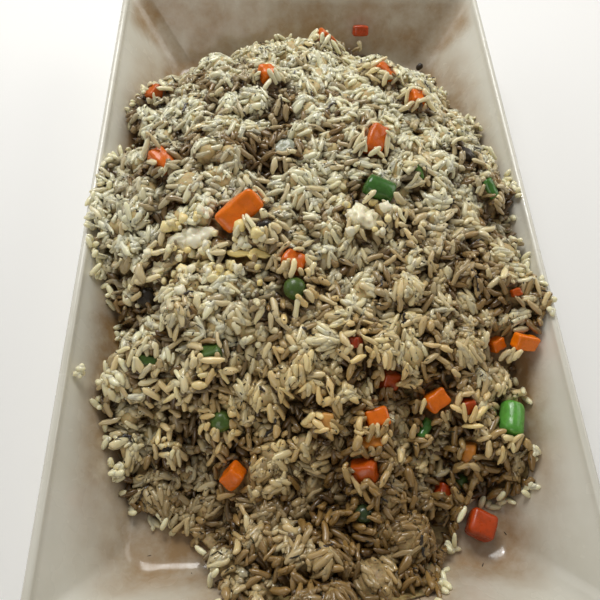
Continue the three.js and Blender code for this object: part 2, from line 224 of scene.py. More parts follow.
def mottleGroup():
    # Two colours mixed by noise in the object's own space
    colour, number = "NodeSocketColor", "NodeSocketFloat"
    tree, given, result = newGroup(
        "mottle",
        [("Dark", colour, (0.2, 0.2, 0.2, 1)), ("Light", colour, (0.8, 0.8, 0.8, 1)), ("Scale", number, 300),
         ("Bias", number, 0.5), ("Softness", number, 0.2)],
        [("Color", colour)],
    )
    field = noiseField(tree, objectPlace(tree), given.outputs["Scale"], 4.0, Roughness=0.6)
    bias = {0: given.outputs["Bias"], 1: given.outputs["Softness"]}
    ends = [place(tree, "ShaderNodeMath", bias, operation=way) for way in ("SUBTRACT", "ADD")]
    mask = mapped(tree, field, ends[0].outputs[0], ends[1].outputs[0], interpolation_type="SMOOTHSTEP")
    mixed = mixColour(tree, mask, given.outputs["Dark"], given.outputs["Light"])
    tree.links.new(mixed, result.inputs["Color"])
    return tree


def wetGroup():
    # Patches of oil: a roughness that falls where the film is thick, and the height of fine grain for a bump
    number = "NodeSocketFloat"
    tree, given, result = newGroup(
        "wetFilm",
        [("Dry", number, 0.5), ("Wet", number, 0.2), ("Scale", number, 200), ("Grain", number, 1500)],
        [("Roughness", number), ("Height", number)],
    )
    where = objectPlace(tree)
    film = noiseField(tree, where, given.outputs["Scale"], 2.0)
    roughness = mapped(tree, film, 0.35, 0.62, given.outputs["Dry"], given.outputs["Wet"])
    tree.links.new(roughness, result.inputs["Roughness"])
    tree.links.new(noiseField(tree, where, given.outputs["Grain"], 3.0), result.inputs["Height"])
    return tree


mottle = mottleGroup()
wetFilm = wetGroup()


def attribute(tree, name):
    return place(tree, "ShaderNodeAttribute", attribute_name=name).outputs["Fac"]


def surface(tree, shader, film):
    # A wet film on a shader. A film is its roughness where dry and where wet, the scales of its patches and
    # of its fine grain, and the strength of the grain's bump and its height in millimetres
    dry, wet, scale, grain, strength, distance = film
    sockets = {"Dry": dry, "Wet": wet, "Scale": scale, "Grain": grain}
    wet = place(tree, "ShaderNodeGroup", sockets, node_tree=wetFilm)
    raised = place(tree, "ShaderNodeBump", {"Height": wet.outputs["Height"], "Strength": strength,
                                            "Distance": distance * mm})
    tree.links.new(wet.outputs["Roughness"], shader.inputs["Roughness"])
    tree.links.new(raised.outputs["Normal"], shader.inputs["Normal"])


def mottled(tree, dark, light, scale, bias=0.5, softness=0.2):
    sockets = {"Dark": dark, "Light": light, "Scale": scale, "Bias": bias, "Softness": softness}
    return place(tree, "ShaderNodeGroup", sockets, node_tree=mottle).outputs["Color"]


# The dish

dishShape = {
    "width": 210, "length": 344, "height": 44, "floorZ": 6, "floorInset": 27, "wall": 3.6,
    "rimRadius": 8, "floorRadius": 12, "fillet": 9,
    "footInset": 27.5, "footWidth": 4.5, "footHeight": 1.8, "footSlope": 1.5, "footEase": 0.6,
    "footEdge": 0.3,
    "underInsets": [40, 18, 6, 0],  # rows under the floor, from the middle out to the foot
    "cornerColumns": 12, "sideColumns": 64, "endColumns": 38, "wallRows": 22, "floorRows": 24,
    "lipRows": 9, "filletRows": 8, "floorRound": 0.6,
    "glaze": tint(226, 224, 213), "glazeShade": tint(214, 211, 197), "glazeScale": 25,
    "film": [0.32, 0.16, 90, 400, 0.04, 0.3],
    "oilTint": tint(158, 126, 84), "oilReach": 44,  # the colour of the oil film and of the rice's painted shade, and how far they run from the rice
    "streakScale": 60, "filmFrom": 0.02, "filmTo": 0.3, "filmMost": 0.95,
    "lowOil": 0.45, "lowOilTop": 26, "lowOilFade": 25,  # oil film and painted shade low on the walls, up to this far over the floor
    "rimClear": 2, "rimFade": 16,  # the oil film and painted shade end this far under the rim
    "farOil": 0.42, "farFrom": 136, "farFade": 14, "farRimFade": 8,  # painted shade on the far wall, which faces away from the lamps
}
rise = dishShape["height"] - dishShape["floorZ"]
wallAngle = math.atan2(rise, dishShape["floorInset"] - dishShape["wall"])
filletReach = dishShape["fillet"] * math.tan(wallAngle / 2)


def dishSurface(x, y):
    # Height of the inside by the distance outside the floor: flat, a circular fillet, then a straight wall
    d = dishShape
    qx = np.abs(x) - (d["width"] / 2 - d["floorInset"] - d["floorRadius"])
    qy = np.abs(y) - (d["length"] / 2 - d["floorInset"] - d["floorRadius"])
    outside = np.hypot(np.maximum(qx, 0), np.maximum(qy, 0)) + np.minimum(np.maximum(qx, qy), 0)
    along = np.maximum(outside - d["floorRadius"] + filletReach, 0)
    curve = d["floorZ"] + d["fillet"] - np.sqrt(np.maximum(d["fillet"] ** 2 - along ** 2, 0))
    wall = d["floorZ"] + (along - filletReach) * math.tan(wallAngle)
    return np.where(along < d["fillet"] * math.sin(wallAngle), curve, np.minimum(wall, d["height"]))


def dishProfile():
    # Rows of inset from the outer edge, height and corner radius: under the floor, up, over the lip, inwards
    d = dishShape
    foot, radius, lip = d["footInset"], d["floorRadius"], d["wall"] / 2
    inner = foot + d["footWidth"]
    rows = [[inner + d["footSlope"] + k, d["footHeight"], radius] for k in d["underInsets"]]
    rows += [[inner + d["footEase"], d["footEdge"], radius], [inner, 0, radius], [foot, 0, radius]]
    rows += [[foot - d["footEase"], d["footEdge"], radius]]
    rows += [[foot - d["footSlope"], d["footHeight"], radius + 1]]
    t = np.linspace(0, 1, d["wallRows"])[1:-1, None]
    start, rim = np.array(rows[-1]), np.array([0, d["height"] - lip, d["rimRadius"]])
    outer = start + (rim - start) * t
    turns = np.linspace(math.pi, 0, d["lipRows"])
    over = [lip + lip * np.cos(turns), d["height"] - lip + lip * np.sin(turns), 0 * turns + d["rimRadius"]]
    turns = np.linspace(wallAngle, 0, d["filletRows"])
    fillet = np.stack([d["floorInset"] + filletReach - d["fillet"] * np.sin(turns),
                       d["floorZ"] + d["fillet"] * (1 - np.cos(turns)), 0 * turns], 1)
    start = np.array([d["wall"], d["height"] - lip, 0])
    inside = np.concatenate([start + (fillet[0] - start) * t, fillet])
    inside[:, 2] = np.interp(inside[:, 1], [d["floorZ"], d["height"]], [radius, d["rimRadius"]])
    t = np.linspace(0, 1, d["floorRows"])[1:]
    inset = fillet[-1, 0] + (d["width"] / 2 - 1 - fillet[-1, 0]) * t
    corner = np.minimum(radius, (d["width"] / 2 - inset) * d["floorRound"])
    floor = np.stack([inset, 0 * t + d["floorZ"], corner], 1)
    return np.concatenate([rows, outer, np.stack(over, 1), inside, floor])


def roundedRing(profile):
    # Each profile row becomes a rounded rectangle: quarter circles about its corner centres and straight runs
    d = dishShape
    angles = np.linspace(0, math.pi / 2, d["cornerColumns"])
    reachX = (d["width"] / 2 - profile[:, 0] - profile[:, 2])[:, None]
    reachY = (d["length"] / 2 - profile[:, 0] - profile[:, 2])[:, None]
    quarters = []
    for quarter, (sx, sy) in enumerate([(1, 1), (-1, 1), (-1, -1), (1, -1)]):
        around, radius = angles + quarter * math.pi / 2, profile[:, 2:3]
        quarters.append((sx * reachX + radius * np.cos(around), sy * reachY + radius * np.sin(around)))
    blocksX, blocksY = [], []
    for quarter, (x, y) in enumerate(quarters):
        nextX, nextY = quarters[(quarter + 1) % 4]
        t = np.linspace(0, 1, (d["endColumns"] if quarter % 2 == 0 else d["sideColumns"]) + 2)[1:-1]
        blocksX += [x, x[:, -1:] * (1 - t) + nextX[:, :1] * t]
        blocksY += [y, y[:, -1:] * (1 - t) + nextY[:, :1] * t]
    return np.concatenate(blocksX, 1), np.concatenate(blocksY, 1)


def glazeMaterial():
    # White glaze, a little uneven, under a brown film that is partly oil and partly painted shade: thicker
    # near the rice, low on the walls and on the far wall
    material, tree, shader = newMaterial("glazed_white", IOR=1.5, CoatWeight=0.35, CoatRoughness=0.06)
    d = dishShape
    base = mottled(tree, d["glazeShade"], d["glaze"], d["glazeScale"], softness=0.3)
    streaks = noiseField(tree, objectPlace(tree), d["streakScale"], 5.0, Roughness=0.65)
    # the film's brown is oil and painted shade, broken up by streaks
    film = place(tree, "ShaderNodeMath", {0: attribute(tree, "oil"), 1: streaks}, operation="MULTIPLY")
    film = mapped(tree, film.outputs[0], d["filmFrom"], d["filmTo"], 0.0, d["filmMost"])
    tree.links.new(mixColour(tree, film, base, d["oilTint"]), shader.inputs["Base Color"])
    surface(tree, shader, d["film"])
    return material


def paintOilAndShade(bed, piece, points, inside):
    # The oil film and the painted shade of the rice spread from the rice's edge, lie low on the walls and
    # fade towards the rim; the far wall gets painted shade
    d = dishShape
    covered = (bed["cover"] > bedShape["edge"]).astype(float)
    near = blurred(covered[::4, ::4], d["oilReach"] / 2, 4 * bedShape["cell"])
    oil = between(near, bed["x"][::4], bed["y"][::4], points[:, 0], points[:, 1])
    under = d["height"] - points[:, 2]
    low = eased((d["floorZ"] + d["lowOilTop"] - points[:, 2]) / d["lowOilFade"])
    oil = np.maximum(oil, d["lowOil"] * low)
    # painted shade on the far wall, which faces away from the lamps
    far = eased((points[:, 1] - d["farFrom"]) / d["farFade"]) * eased(under / d["farRimFade"])
    oil = np.maximum(oil * eased((under - d["rimClear"]) / d["rimFade"]), d["farOil"] * far)
    paint(piece, "oil", np.where(inside, oil, 0))


def buildDish(bed):
    profile = dishProfile()
    x, y = roundedRing(profile)
    rows, columns = x.shape
    z = np.broadcast_to(profile[:, 1:2], x.shape)
    poles = [[0, 0, dishShape["footHeight"]], [0, 0, dishShape["floorZ"]]]
    points = np.concatenate([np.stack([x, y, z], -1).reshape(-1, 3), poles])
    caps = capFaces(rows, columns, len(points) - 2, len(points) - 1)
    faces = gridFaces(rows, columns)
    piece = makePiece("serving_dish", points, faces, caps, glazeMaterial(), ("dish",))
    lip = int(np.argmax(profile[:, 1]))
    paintOilAndShade(bed, piece, points, np.append(np.repeat(np.arange(rows) >= lip, columns), [False, True]))


# The bed: heights on a fine grid that the grains settle on

bedShape = {
    "cell": 0.5, "coarse": 1.5, "blur": 2.4,  # grid steps, and the width of the blur over the solid's bumps
    "coreDepth": 2.6, "coreGap": 0.25,  # how far the core lies under the finished rice and over the dish
    "swellPitch": 24, "swellHeight": 3.6,  # broad unevenness of the rice
    "drop": 7.0,  # how far the rice between the tufts lies under the solid's surface
    "besideRise": 3.0, "besideReach": 3.0, "besideShare": 0.8,  # beside toppings the rice keeps to the solid
    "edge": 0.5, "swellFrom": 0.6, "swellOver": 0.38,  # cover at the rice's edge and where the swell sets in
    "thinnest": 1.5, "slopeBlur": 3.0,
    "heapSamples": 14, "toppingSamples": 48,  # sample places along a face's side
    "bare": ["carrot_8", "carrot_10", "carrot_11", "carrot_12", "carrot_15", "carrot_19", "green_bean_1",
             "green_bean_4", "pea_2", "egg_1", "egg_2", "egg_4", "egg_5"],  # toppings that nothing lies on
    "bareBlur": 1.0, "bareShare": 0.04,
    "lap": 2,  # how many cells grains may start inside a topping's outline
}


def heightsOf(name, x, y, steps):
    # Highest z of a CAD node in each cell of the grid x, y, and -1 where there is none: every face is sampled
    # at even barycentric places
    points, tris = nodeArrays(name)
    u, v = np.meshgrid(np.linspace(0, 1, steps), np.linspace(0, 1, steps))
    inside = u + v <= 1 + 1e-9
    weights = np.stack([u[inside], v[inside], 1 - u[inside] - v[inside]], 1)
    samples = np.einsum("sk,tkc->tsc", weights, points[tris]).reshape(-1, 3)
    step = x[1] - x[0]
    i = np.rint((samples[:, 0] - x[0]) / step).astype(int)
    j = np.rint((samples[:, 1] - y[0]) / step).astype(int)
    found = np.full((len(x), len(y)), -1.0)
    kept = (i >= 0) & (i < len(x)) & (j >= 0) & (j < len(y))
    np.maximum.at(found, (i[kept], j[kept]), samples[kept, 2])
    return found


def blurred(field, reach, step):
    # Gaussian average along both axes: each value is the weighted sum of its shifted neighbours
    offsets = np.arange(-int(3 * reach / step), int(3 * reach / step) + 1)
    weights = np.exp(-0.5 * (offsets * step / reach) ** 2)
    for axis in (0, 1):
        field = sum(w * np.roll(field, k, axis) for k, w in zip(offsets, weights)) / weights.sum()
    return field


def between(field, x, y, atX, atY):
    # Bilinear value of a gridded field
    field = np.asarray(field, dtype=np.float64)
    u = np.clip((atX - x[0]) / (x[1] - x[0]), 0, len(x) - 1.001)
    v = np.clip((atY - y[0]) / (y[1] - y[0]), 0, len(y) - 1.001)
    i, j = u.astype(int), v.astype(int)
    s, t = u - i, v - j
    near = field[i, j] * (1 - s) + field[i + 1, j] * s
    far = field[i, j + 1] * (1 - s) + field[i + 1, j + 1] * s
    return near * (1 - t) + far * t


def atBed(bed, field, x, y):
    # Value of one of the bed's fields at any place
    return between(bed[field], bed["x"], bed["y"], x, y)


def freeSpots(bed, leastCover):
    # Cells that the rice covers by this share at least and that no topping takes
    return np.flatnonzero(((bed["cover"] > leastCover) & ~bed["blocked"]).ravel())


def spotPlaces(bed, spots):
    return bed["gx"].ravel()[spots], bed["gy"].ravel()[spots]


def highestOf(names, x, y):
    found = np.full((len(x), len(y)), -1.0)
    for name in names:
        np.maximum(found, heightsOf(name, x, y, bedShape["toppingSamples"]), out=found)
    return found


def makeBed(toppingNames):
    b = bedShape
    halfX, halfY = dishShape["width"] / 2, dishShape["length"] / 2
    coarseX, coarseY = [np.arange(-h - b["coarse"], h + 2 * b["coarse"], b["coarse"]) for h in (halfX, halfY)]
    solid = heightsOf("rice_heap", coarseX, coarseY, b["heapSamples"])
    share = blurred((solid > 0).astype(float), b["blur"], b["coarse"])
    smooth = blurred(np.where(solid > 0, solid, 0), b["blur"], b["coarse"]) / np.maximum(share, 1e-6)
    x, y = [np.arange(-h, h + b["cell"] / 2, b["cell"]) for h in (halfX, halfY)]
    gx, gy = np.meshgrid(x, y, indexing="ij")
    top = between(smooth, coarseX, coarseY, gx, gy)
    cover = between(share, coarseX, coarseY, gx, gy)
    plate = dishSurface(gx, gy)
    toppings = highestOf(toppingNames, x, y)
    blocked = toppings > 0
    bare = blurred((highestOf(b["bare"], x, y) > 0).astype(float), b["bareBlur"], b["cell"]) > b["bareShare"]
    beside = eased(b["besideRise"] * blurred(blocked.astype(float), b["besideReach"], b["cell"]))
    swell = b["swellHeight"] * noise(gx, gy, 0 * gx, b["swellPitch"], 1) - b["drop"]
    swell = swell * (1 - b["besideShare"] * beside) * eased((cover - b["swellFrom"]) / b["swellOver"])
    target = np.where(cover > b["edge"], np.maximum(top + swell, plate + b["thinnest"]), -1.0)
    core = np.maximum(target - b["coreDepth"], plate + b["coreGap"])
    height = np.maximum(np.where(target > 0, core, plate), toppings)
    slopes = np.gradient(blurred(np.maximum(target, plate), b["slopeBlur"], b["cell"]), b["cell"])
    return {"x": x, "y": y, "gx": gx, "gy": gy, "target": target, "cover": cover, "plate": plate,
            "core": core, "height": height, "top": height.copy(), "crown": 0 * target, "slopes": slopes,
            "blocked": blocked, "bare": bare}


# The tufts: balls of rice that sticks together, which stand out of the heap

tuftShape = {
    "tries": 9000, "spacing": 0.62,  # two balls lie at least this share of their reaches' sum apart
    "reach": 6.8, "reachSpread": 2.2, "smallest": 3.0, "largest": 11.0,
    "under": 0.2, "unevenRise": 2.5,  # how far a ball's top lies under the solid's surface, and its spread
    "lean": 0.3,  # random slant of the way up
    "besideTopping": 1.0, "gapPitch": 15.0, "gapLevel": -0.28,  # no balls where a noise is below the level
    "leastCover": 0.82, "highest": 0.25,  # a ball's middle lies at most this share of its reach over the bed
    "coreInset": 0.75,  # the core's ball is smaller by this
    "room": 10.2, "lowest": -0.2,  # square millimetres of ball for each grain; cosine down to which grains go
    "outward": 0.55, "alike": 1.0, "loose": 0.5, "lift": 0.24,  # what turns a grain, and how tips stand off
    "roughness": 0.7, "hidden": 1.3,  # random depth; grains this deep in another ball are left out
    "buried": 2.2, "grainCover": 0.6,  # those this deep under the bed and those past the rice's edge too
}


def placeTufts(bed):
    # Darts: each ball keeps clear of earlier balls and of the toppings, and its middle lies low in the rice
    s = tuftShape
    random = np.random.default_rng(seed + 5)
    gaps = noise(bed["gx"], bed["gy"], 0 * bed["gx"], s["gapPitch"], 6)
    free = freeSpots(bed, s["leastCover"])
    free = free[gaps.ravel()[free] > s["gapLevel"]]
    edge = bed["blocked"] & ~(np.roll(bed["blocked"], 1, 0) & np.roll(bed["blocked"], 1, 1))
    walls = np.stack([bed["gx"][edge], bed["gy"][edge]], 1)
    middles, reaches = np.zeros((0, 3)), np.zeros(0)
    for spot in random.choice(free, s["tries"]):
        x, y, z = *spotPlaces(bed, spot), bed["target"].ravel()[spot]
        reach = min(max(random.normal(s["reach"], s["reachSpread"]), s["smallest"]), s["largest"])
        reach = min(reach, np.hypot(*(walls - [x, y]).T).min() - s["besideTopping"])
        if reach < s["smallest"]:
            continue
        apart = np.hypot(middles[:, 0] - x, middles[:, 1] - y)
        if np.any(apart < s["spacing"] * (reaches + reach)):
            continue
        level = z + bedShape["drop"] + random.normal(0, s["unevenRise"]) - s["under"] - reach
        z = min(level, z + s["highest"] * reach)
        middles, reaches = np.vstack([middles, [x, y, z]]), np.append(reaches, reach)
    return {"middle": middles, "reach": reaches, "tone": random.random(len(reaches))}


def raiseTufts(bed, tufts):
    # Each ball's upper half, z + sqrt(r^2 - d^2), goes into the core and into the height that grains rest on
    cell, wide = bedShape["cell"], int(tuftShape["largest"] / bedShape["cell"]) + 2
    for (x, y, z), reach in zip(tufts["middle"], tufts["reach"]):
        i, j = int(round((x - bed["x"][0]) / cell)), int(round((y - bed["y"][0]) / cell))
        part = (slice(max(i - wide, 0), i + wide), slice(max(j - wide, 0), j + wide))
        apart = (bed["gx"][part] - x) ** 2 + (bed["gy"][part] - y) ** 2
        ball = reach - tuftShape["coreInset"]
        dome = z + np.sqrt(np.maximum(ball ** 2 - apart, 0))
        dome = np.where((apart < ball ** 2) & ~bed["blocked"][part], dome, -1)
        for name in ("core", "height", "top"):
            np.maximum(bed[name][part], dome, out=bed[name][part])
        crown = np.clip(1 - apart / reach ** 2, 0, 1)
        np.maximum(bed["crown"][part], crown, out=bed["crown"][part])


def coverTufts(bed, tufts):
    # Grains spread evenly over each ball; each points down the ball's side, turned by a way that the ball's
    # grains share and by chance; those inside another ball or a topping are left out
    s = tuftShape
    random = np.random.default_rng(seed + 6)
    slopeX, slopeY = [between(f, bed["x"], bed["y"], *tufts["middle"][:, :2].T) for f in bed["slopes"]]
    up = np.stack([-slopeX, -slopeY, 1 + 0 * slopeX], 1) + random.normal(0, s["lean"], (len(slopeX), 3))
    up = unit(up)
    across = unit(np.cross(up, [0.0, 1.0, 0.0]))
    along = np.cross(up, across)
    counts = (turn * tufts["reach"] ** 2 * (1 - s["lowest"]) / s["room"]).astype(int)
    owner = np.repeat(np.arange(len(counts)), counts)
    total = len(owner)
    cosine = random.uniform(s["lowest"], 1, total)
    sine, phi = np.sqrt(1 - cosine ** 2), random.uniform(0, turn, total)
    ring = across[owner] * np.cos(phi)[:, None] + along[owner] * np.sin(phi)[:, None]
    outward = ring * sine[:, None] + up[owner] * cosine[:, None]
    reach = tufts["reach"][owner] - np.abs(random.normal(0, s["roughness"], total))
    centre = tufts["middle"][owner] + outward * reach[:, None]
    down = ring * cosine[:, None] - up[owner] * sine[:, None]
    shared = random.normal(0, 1, (len(counts), 3))[owner]
    way = s["outward"] * down + s["alike"] * shared + s["loose"] * random.normal(0, 1, (total, 3))
    way = unit(way - outward * np.sum(way * outward, 1)[:, None])
    lift = s["lift"] * np.abs(random.normal(0, 1, total)) * np.sign(np.sum(way * down, 1))
    way = unit(way + outward * lift[:, None])
    inside = np.zeros(total, bool)
    for k, (middle, radius) in enumerate(zip(tufts["middle"], tufts["reach"])):
        deep = np.sum((centre - middle) ** 2, 1) < (radius - s["hidden"]) ** 2
        inside |= deep & (owner != k)
    floor, cover, taken = [atBed(bed, field, *centre[:, :2].T) for field in ("target", "cover", "blocked")]
    kept = ~inside & (centre[:, 2] > floor - s["buried"]) & (cover > s["grainCover"]) & (taken == 0)
    grains = randomGrains(total, random)
    grains.update({"centre": centre, "tilt": np.arcsin(way[:, 2]), "sticky": cosine,
                   "heading": np.arctan2(way[:, 1], way[:, 0]), "shared": tufts["tone"][owner]})
    return {key: value[kept] for key, value in grains.items()}


# The core under the loose grains

coreShape = {
    "edgeGap": 1.8,  # the core ends this far inside the rice's edge
    "rings": 150, "around": 520, "crowding": 0.8,  # rings lie closer together towards the edge
    "probeStep": 0.5, "probeReach": 190,  # how the edge is looked for from the middle outwards
    "reliefPitch": 2.6, "relief": 0.9, "edgeFade": 0.1,
    "overDish": 0.25, "edgeOver": 0.2, "underGap": 0.12,
    "underEvery": 6,  # the underside has every sixth ring
    # The core stands for rice deep in shade, so its colours are painted shade; the lighter crown colour goes
    # where the core comes near the tops of the balls
    "dark": tint(100, 75, 40), "light": tint(170, 142, 92), "crown": tint(210, 188, 134), "scale": 380,
    "film": [0.6, 0.4, 150, 900, 0.5, 0.6],
    "crownMost": 0.85, "crownFrom": 0.1, "crownOver": 0.6,
    "brownShare": 0.8, "brownFrom": -75, "brownOver": 45,  # crowns are browner in the near end
}


def coreMaterial():
    material, tree, shader = newMaterial("rice_in_shade", SubsurfaceWeight=0.2, SubsurfaceScale=0.002)
    shaded = mottled(tree, coreShape["dark"], coreShape["light"], coreShape["scale"])
    colour = mixColour(tree, attribute(tree, "crown"), shaded, coreShape["crown"])
    tree.links.new(colour, shader.inputs["Base Color"])
    surface(tree, shader, coreShape["film"])
    return material


def buildCore(bed):
    # Rings from the middle out to the rice's edge, at the core's height with a fine relief, and back below
    s = coreShape
    angles = np.arange(s["around"]) * turn / s["around"]
    probe = np.arange(0, s["probeReach"], s["probeStep"])
    px, py = probe[:, None] * np.cos(angles), probe[:, None] * np.sin(angles)
    onDish = (np.abs(px) < dishShape["width"] / 2 - 1) & (np.abs(py) < dishShape["length"] / 2 - 1)
    inside = (atBed(bed, "cover", px, py) > bedShape["edge"]) & onDish
    reach = probe[inside.shape[0] - 1 - np.argmax(inside[::-1], axis=0)]
    reach = (reach + np.roll(reach, 1) + np.roll(reach, -1)) / 3 - s["edgeGap"]
    t = np.linspace(0, 1, s["rings"] + 1)[1:, None] ** s["crowding"]
    x, y = t * reach * np.cos(angles), t * reach * np.sin(angles)
    plate = dishSurface(x, y)
    relief = s["relief"] * noise(x, y, 0 * x, s["reliefPitch"], 6) * eased((1 - t) / s["edgeFade"])
    top = np.maximum(atBed(bed, "core", x, y) + relief, plate + s["overDish"])
    top[-1] = plate[-1] + s["edgeOver"]
    under = [part[:-1][::-s["underEvery"]] for part in (x, y, plate + s["underGap"])]
    poles = [[0, 0, atBed(bed, "core", *np.zeros((2, 1)))[0]], [0, 0, dishShape["floorZ"] + s["underGap"]]]
    points = [np.stack(part, -1).reshape(-1, 3) for part in ([x, y, top], under)] + [poles]
    points = np.concatenate(points)
    rows = (len(points) - 2) // s["around"]
    caps = capFaces(rows, s["around"], len(points) - 2, len(points) - 1)
    faces = gridFaces(rows, s["around"])
    piece = makePiece("rice_core", points, faces, caps, coreMaterial(), ("rice_heap",))
    crown = eased((atBed(bed, "crown", *points[:, :2].T) - s["crownFrom"]) / s["crownOver"])
    unbrowned = 1 - s["brownShare"] * eased((s["brownFrom"] - points[:, 1]) / s["brownOver"])
    paint(piece, "crown", s["crownMost"] * unbrowned * crown)


# Loose rice grains

riceShape = {
    "mostLoose": 3200, "draws": 70000,
    "length": 8.0, "lengthSpread": 1.2, "shortest": 2.8, "longest": 10.8, "roll": 0.6,
    "broken": 0.26, "brokenLength": 0.55,  # share of grains that are broken, and what is left of their length
    "width": 2.75, "widthSpread": 0.4, "flatness": 0.84, "bend": 0.3, "uneven": 0.14, "wobble": 0.16,
    "leastCover": 0.6, "leastRoom": 1.5,  # no grain is added where the bed is this near its finished height
    "tries": 8,  # places looked at for each grain; the one that lacks most rice is taken
    "steepest": 1.1, "perk": 0.12,  # the largest slope, and how much grains stand up at random
    "steepestLaid": 2.5,  # the slope that a grain's upper half is laid with at most
    "bundlePitch": 9.0, "bundleWider": 2.3, "bundleSpread": 0.8,  # neighbouring grains lie roughly alike
    "supports": 4, "supportReach": 0.45,  # places at each side of a grain's middle, out to this share of it
    "sink": 0.45,  # how far above its support a grain's axis lies, in half thicknesses
    "looseSinking": 0.15, "stickySinking": 1.35,  # how deep the next grains sink into a grain
    "rings": [-0.91, -0.6, 0.0, 0.62, 0.92], "ringWidths": [0.44, 0.84, 1.0, 0.88, 0.5], "sides": 6,
    "pieces": 5, "hollowReach": 6,
    "shadeMost": 0.85, "shadeFrom": 0.4, "shadeReach": 2.2,  # painted shade: a grain darkens downwards by its depth under the rice's top
    # painted shade of buried grains and of grains in hollows, and the share of it that crowns keep clear of
    "buriedFrom": 1.0, "buriedOver": 4.5, "crownFrom": -0.15, "crownOver": 0.7,
    "hollowFrom": -1.0, "hollowOver": 3.5, "hollowKept": 0.6, "hollowShare": 0.9, "deepest": 0.92,
    # The rice's colours: clean cool and warm, a brown for sauce and painted shade, and a deep brown for the
    # painted shade of depth
    "cool": tint(252, 247, 210), "warm": tint(248, 217, 152), "stained": tint(132, 98, 42),
    "deep": tint(82, 56, 22), "toneLow": 0.84, "toneHigh": 1.06, "film": [0.42, 0.2, 260, 1100, 0.5, 0.25],
}
browningShape = {
    # How brown a grain is, by sauce and by painted shade: a base and what each cause adds, with the pitch,
    # place or reach of the cause; low is the painted shade between the clumps
    "base": -0.08, "low": 0.85, "highFrom": -1.6, "highOver": 5, "most": 0.9,
    "fine": 0.3, "finePitch": 11, "broad": 0.35, "broadPitch": 30, "shared": 0.5,
    "right": 0.14, "rightOver": 40, "rightFrom": 20, "rightFade": 60,
    "odd": 0.3, "oddShare": 0.07, "near": 0.8, "nearFrom": -85, "nearOver": 45,
}
warmShape = {
    # How warm a grain is: a base and what adds to it near the viewer, a painted tint of warm shade, to the
    # right, in a pool and by chance, and what crowns lose, a painted tint of cool light
    "base": 0.18, "near": 0.7, "nearFrom": 60, "nearOver": 190, "right": 0.15, "rightOver": 50,
    "pool": 0.55, "poolPlace": [-6, -94], "poolReach": [34, 24],
    "noise": 0.22, "pitch": 13, "chance": 0.12, "crown": -0.25,
}


def randomGrains(count, random):
    # Length, width and small unevenness of cooked grains, some of them broken
    r = riceShape
    length = random.normal(r["length"], r["lengthSpread"], count)
    length = np.where(random.random(count) < r["broken"], r["brokenLength"] * length, length)
    width = random.normal(r["width"], r["widthSpread"], count)
    return {"length": np.clip(length, r["shortest"], r["longest"]), "width": width,
            "thick": width * r["flatness"],
            "roll": random.uniform(-r["roll"], r["roll"], count), "bend": random.normal(0, r["bend"], count),
            "tone": random.random(count), "uneven": random.normal(1, r["uneven"], (count, len(r["rings"]))),
            "wobble": random.normal(0, r["wobble"], (count, len(r["rings"]), 2)),
            "centre": np.zeros((count, 3)), "tilt": np.zeros(count), "heading": np.zeros(count),
            "sticky": np.zeros(count), "shared": random.random(count)}


def layGrain(bed, g, n, sinking):
    # The grain's upper half, an ellipse along its axis, raises the bed's top, and less so what grains rest on
    cell, steepest = bedShape["cell"], riceShape["steepestLaid"]
    reach = int(riceShape["longest"] / 2 / cell) + 1
    x, y, z = g["centre"][n]
    i, j = int(round((x - bed["x"][0]) / cell)), int(round((y - bed["y"][0]) / cell))
    rows, columns = [np.arange(max(k - reach, 0), min(k + reach + 1, size))
                     for k, size in zip((i, j), bed["top"].shape)]
    wx, wy = (rows - i)[:, None] * cell, (columns - j)[None, :] * cell
    lean = min(max(math.tan(g["tilt"][n]), -steepest), steepest)
    c, s = math.cos(g["heading"][n]), math.sin(g["heading"][n])
    u, v = wx * c + wy * s, wy * c - wx * s
    body = 1 - (u * (2 * math.sqrt(1 + lean * lean) / g["length"][n])) ** 2 - (v * (2 / g["width"][n])) ** 2
    top = np.where(body > 0, z + u * lean + 0.5 * g["thick"][n] * np.sqrt(np.maximum(body, 0)), -1)
    for name, raised in (("height", top - sinking), ("top", top)):
        window = bed[name][rows[0]:rows[-1] + 1, columns[0]:columns[-1] + 1]
        np.maximum(window, raised, out=window)


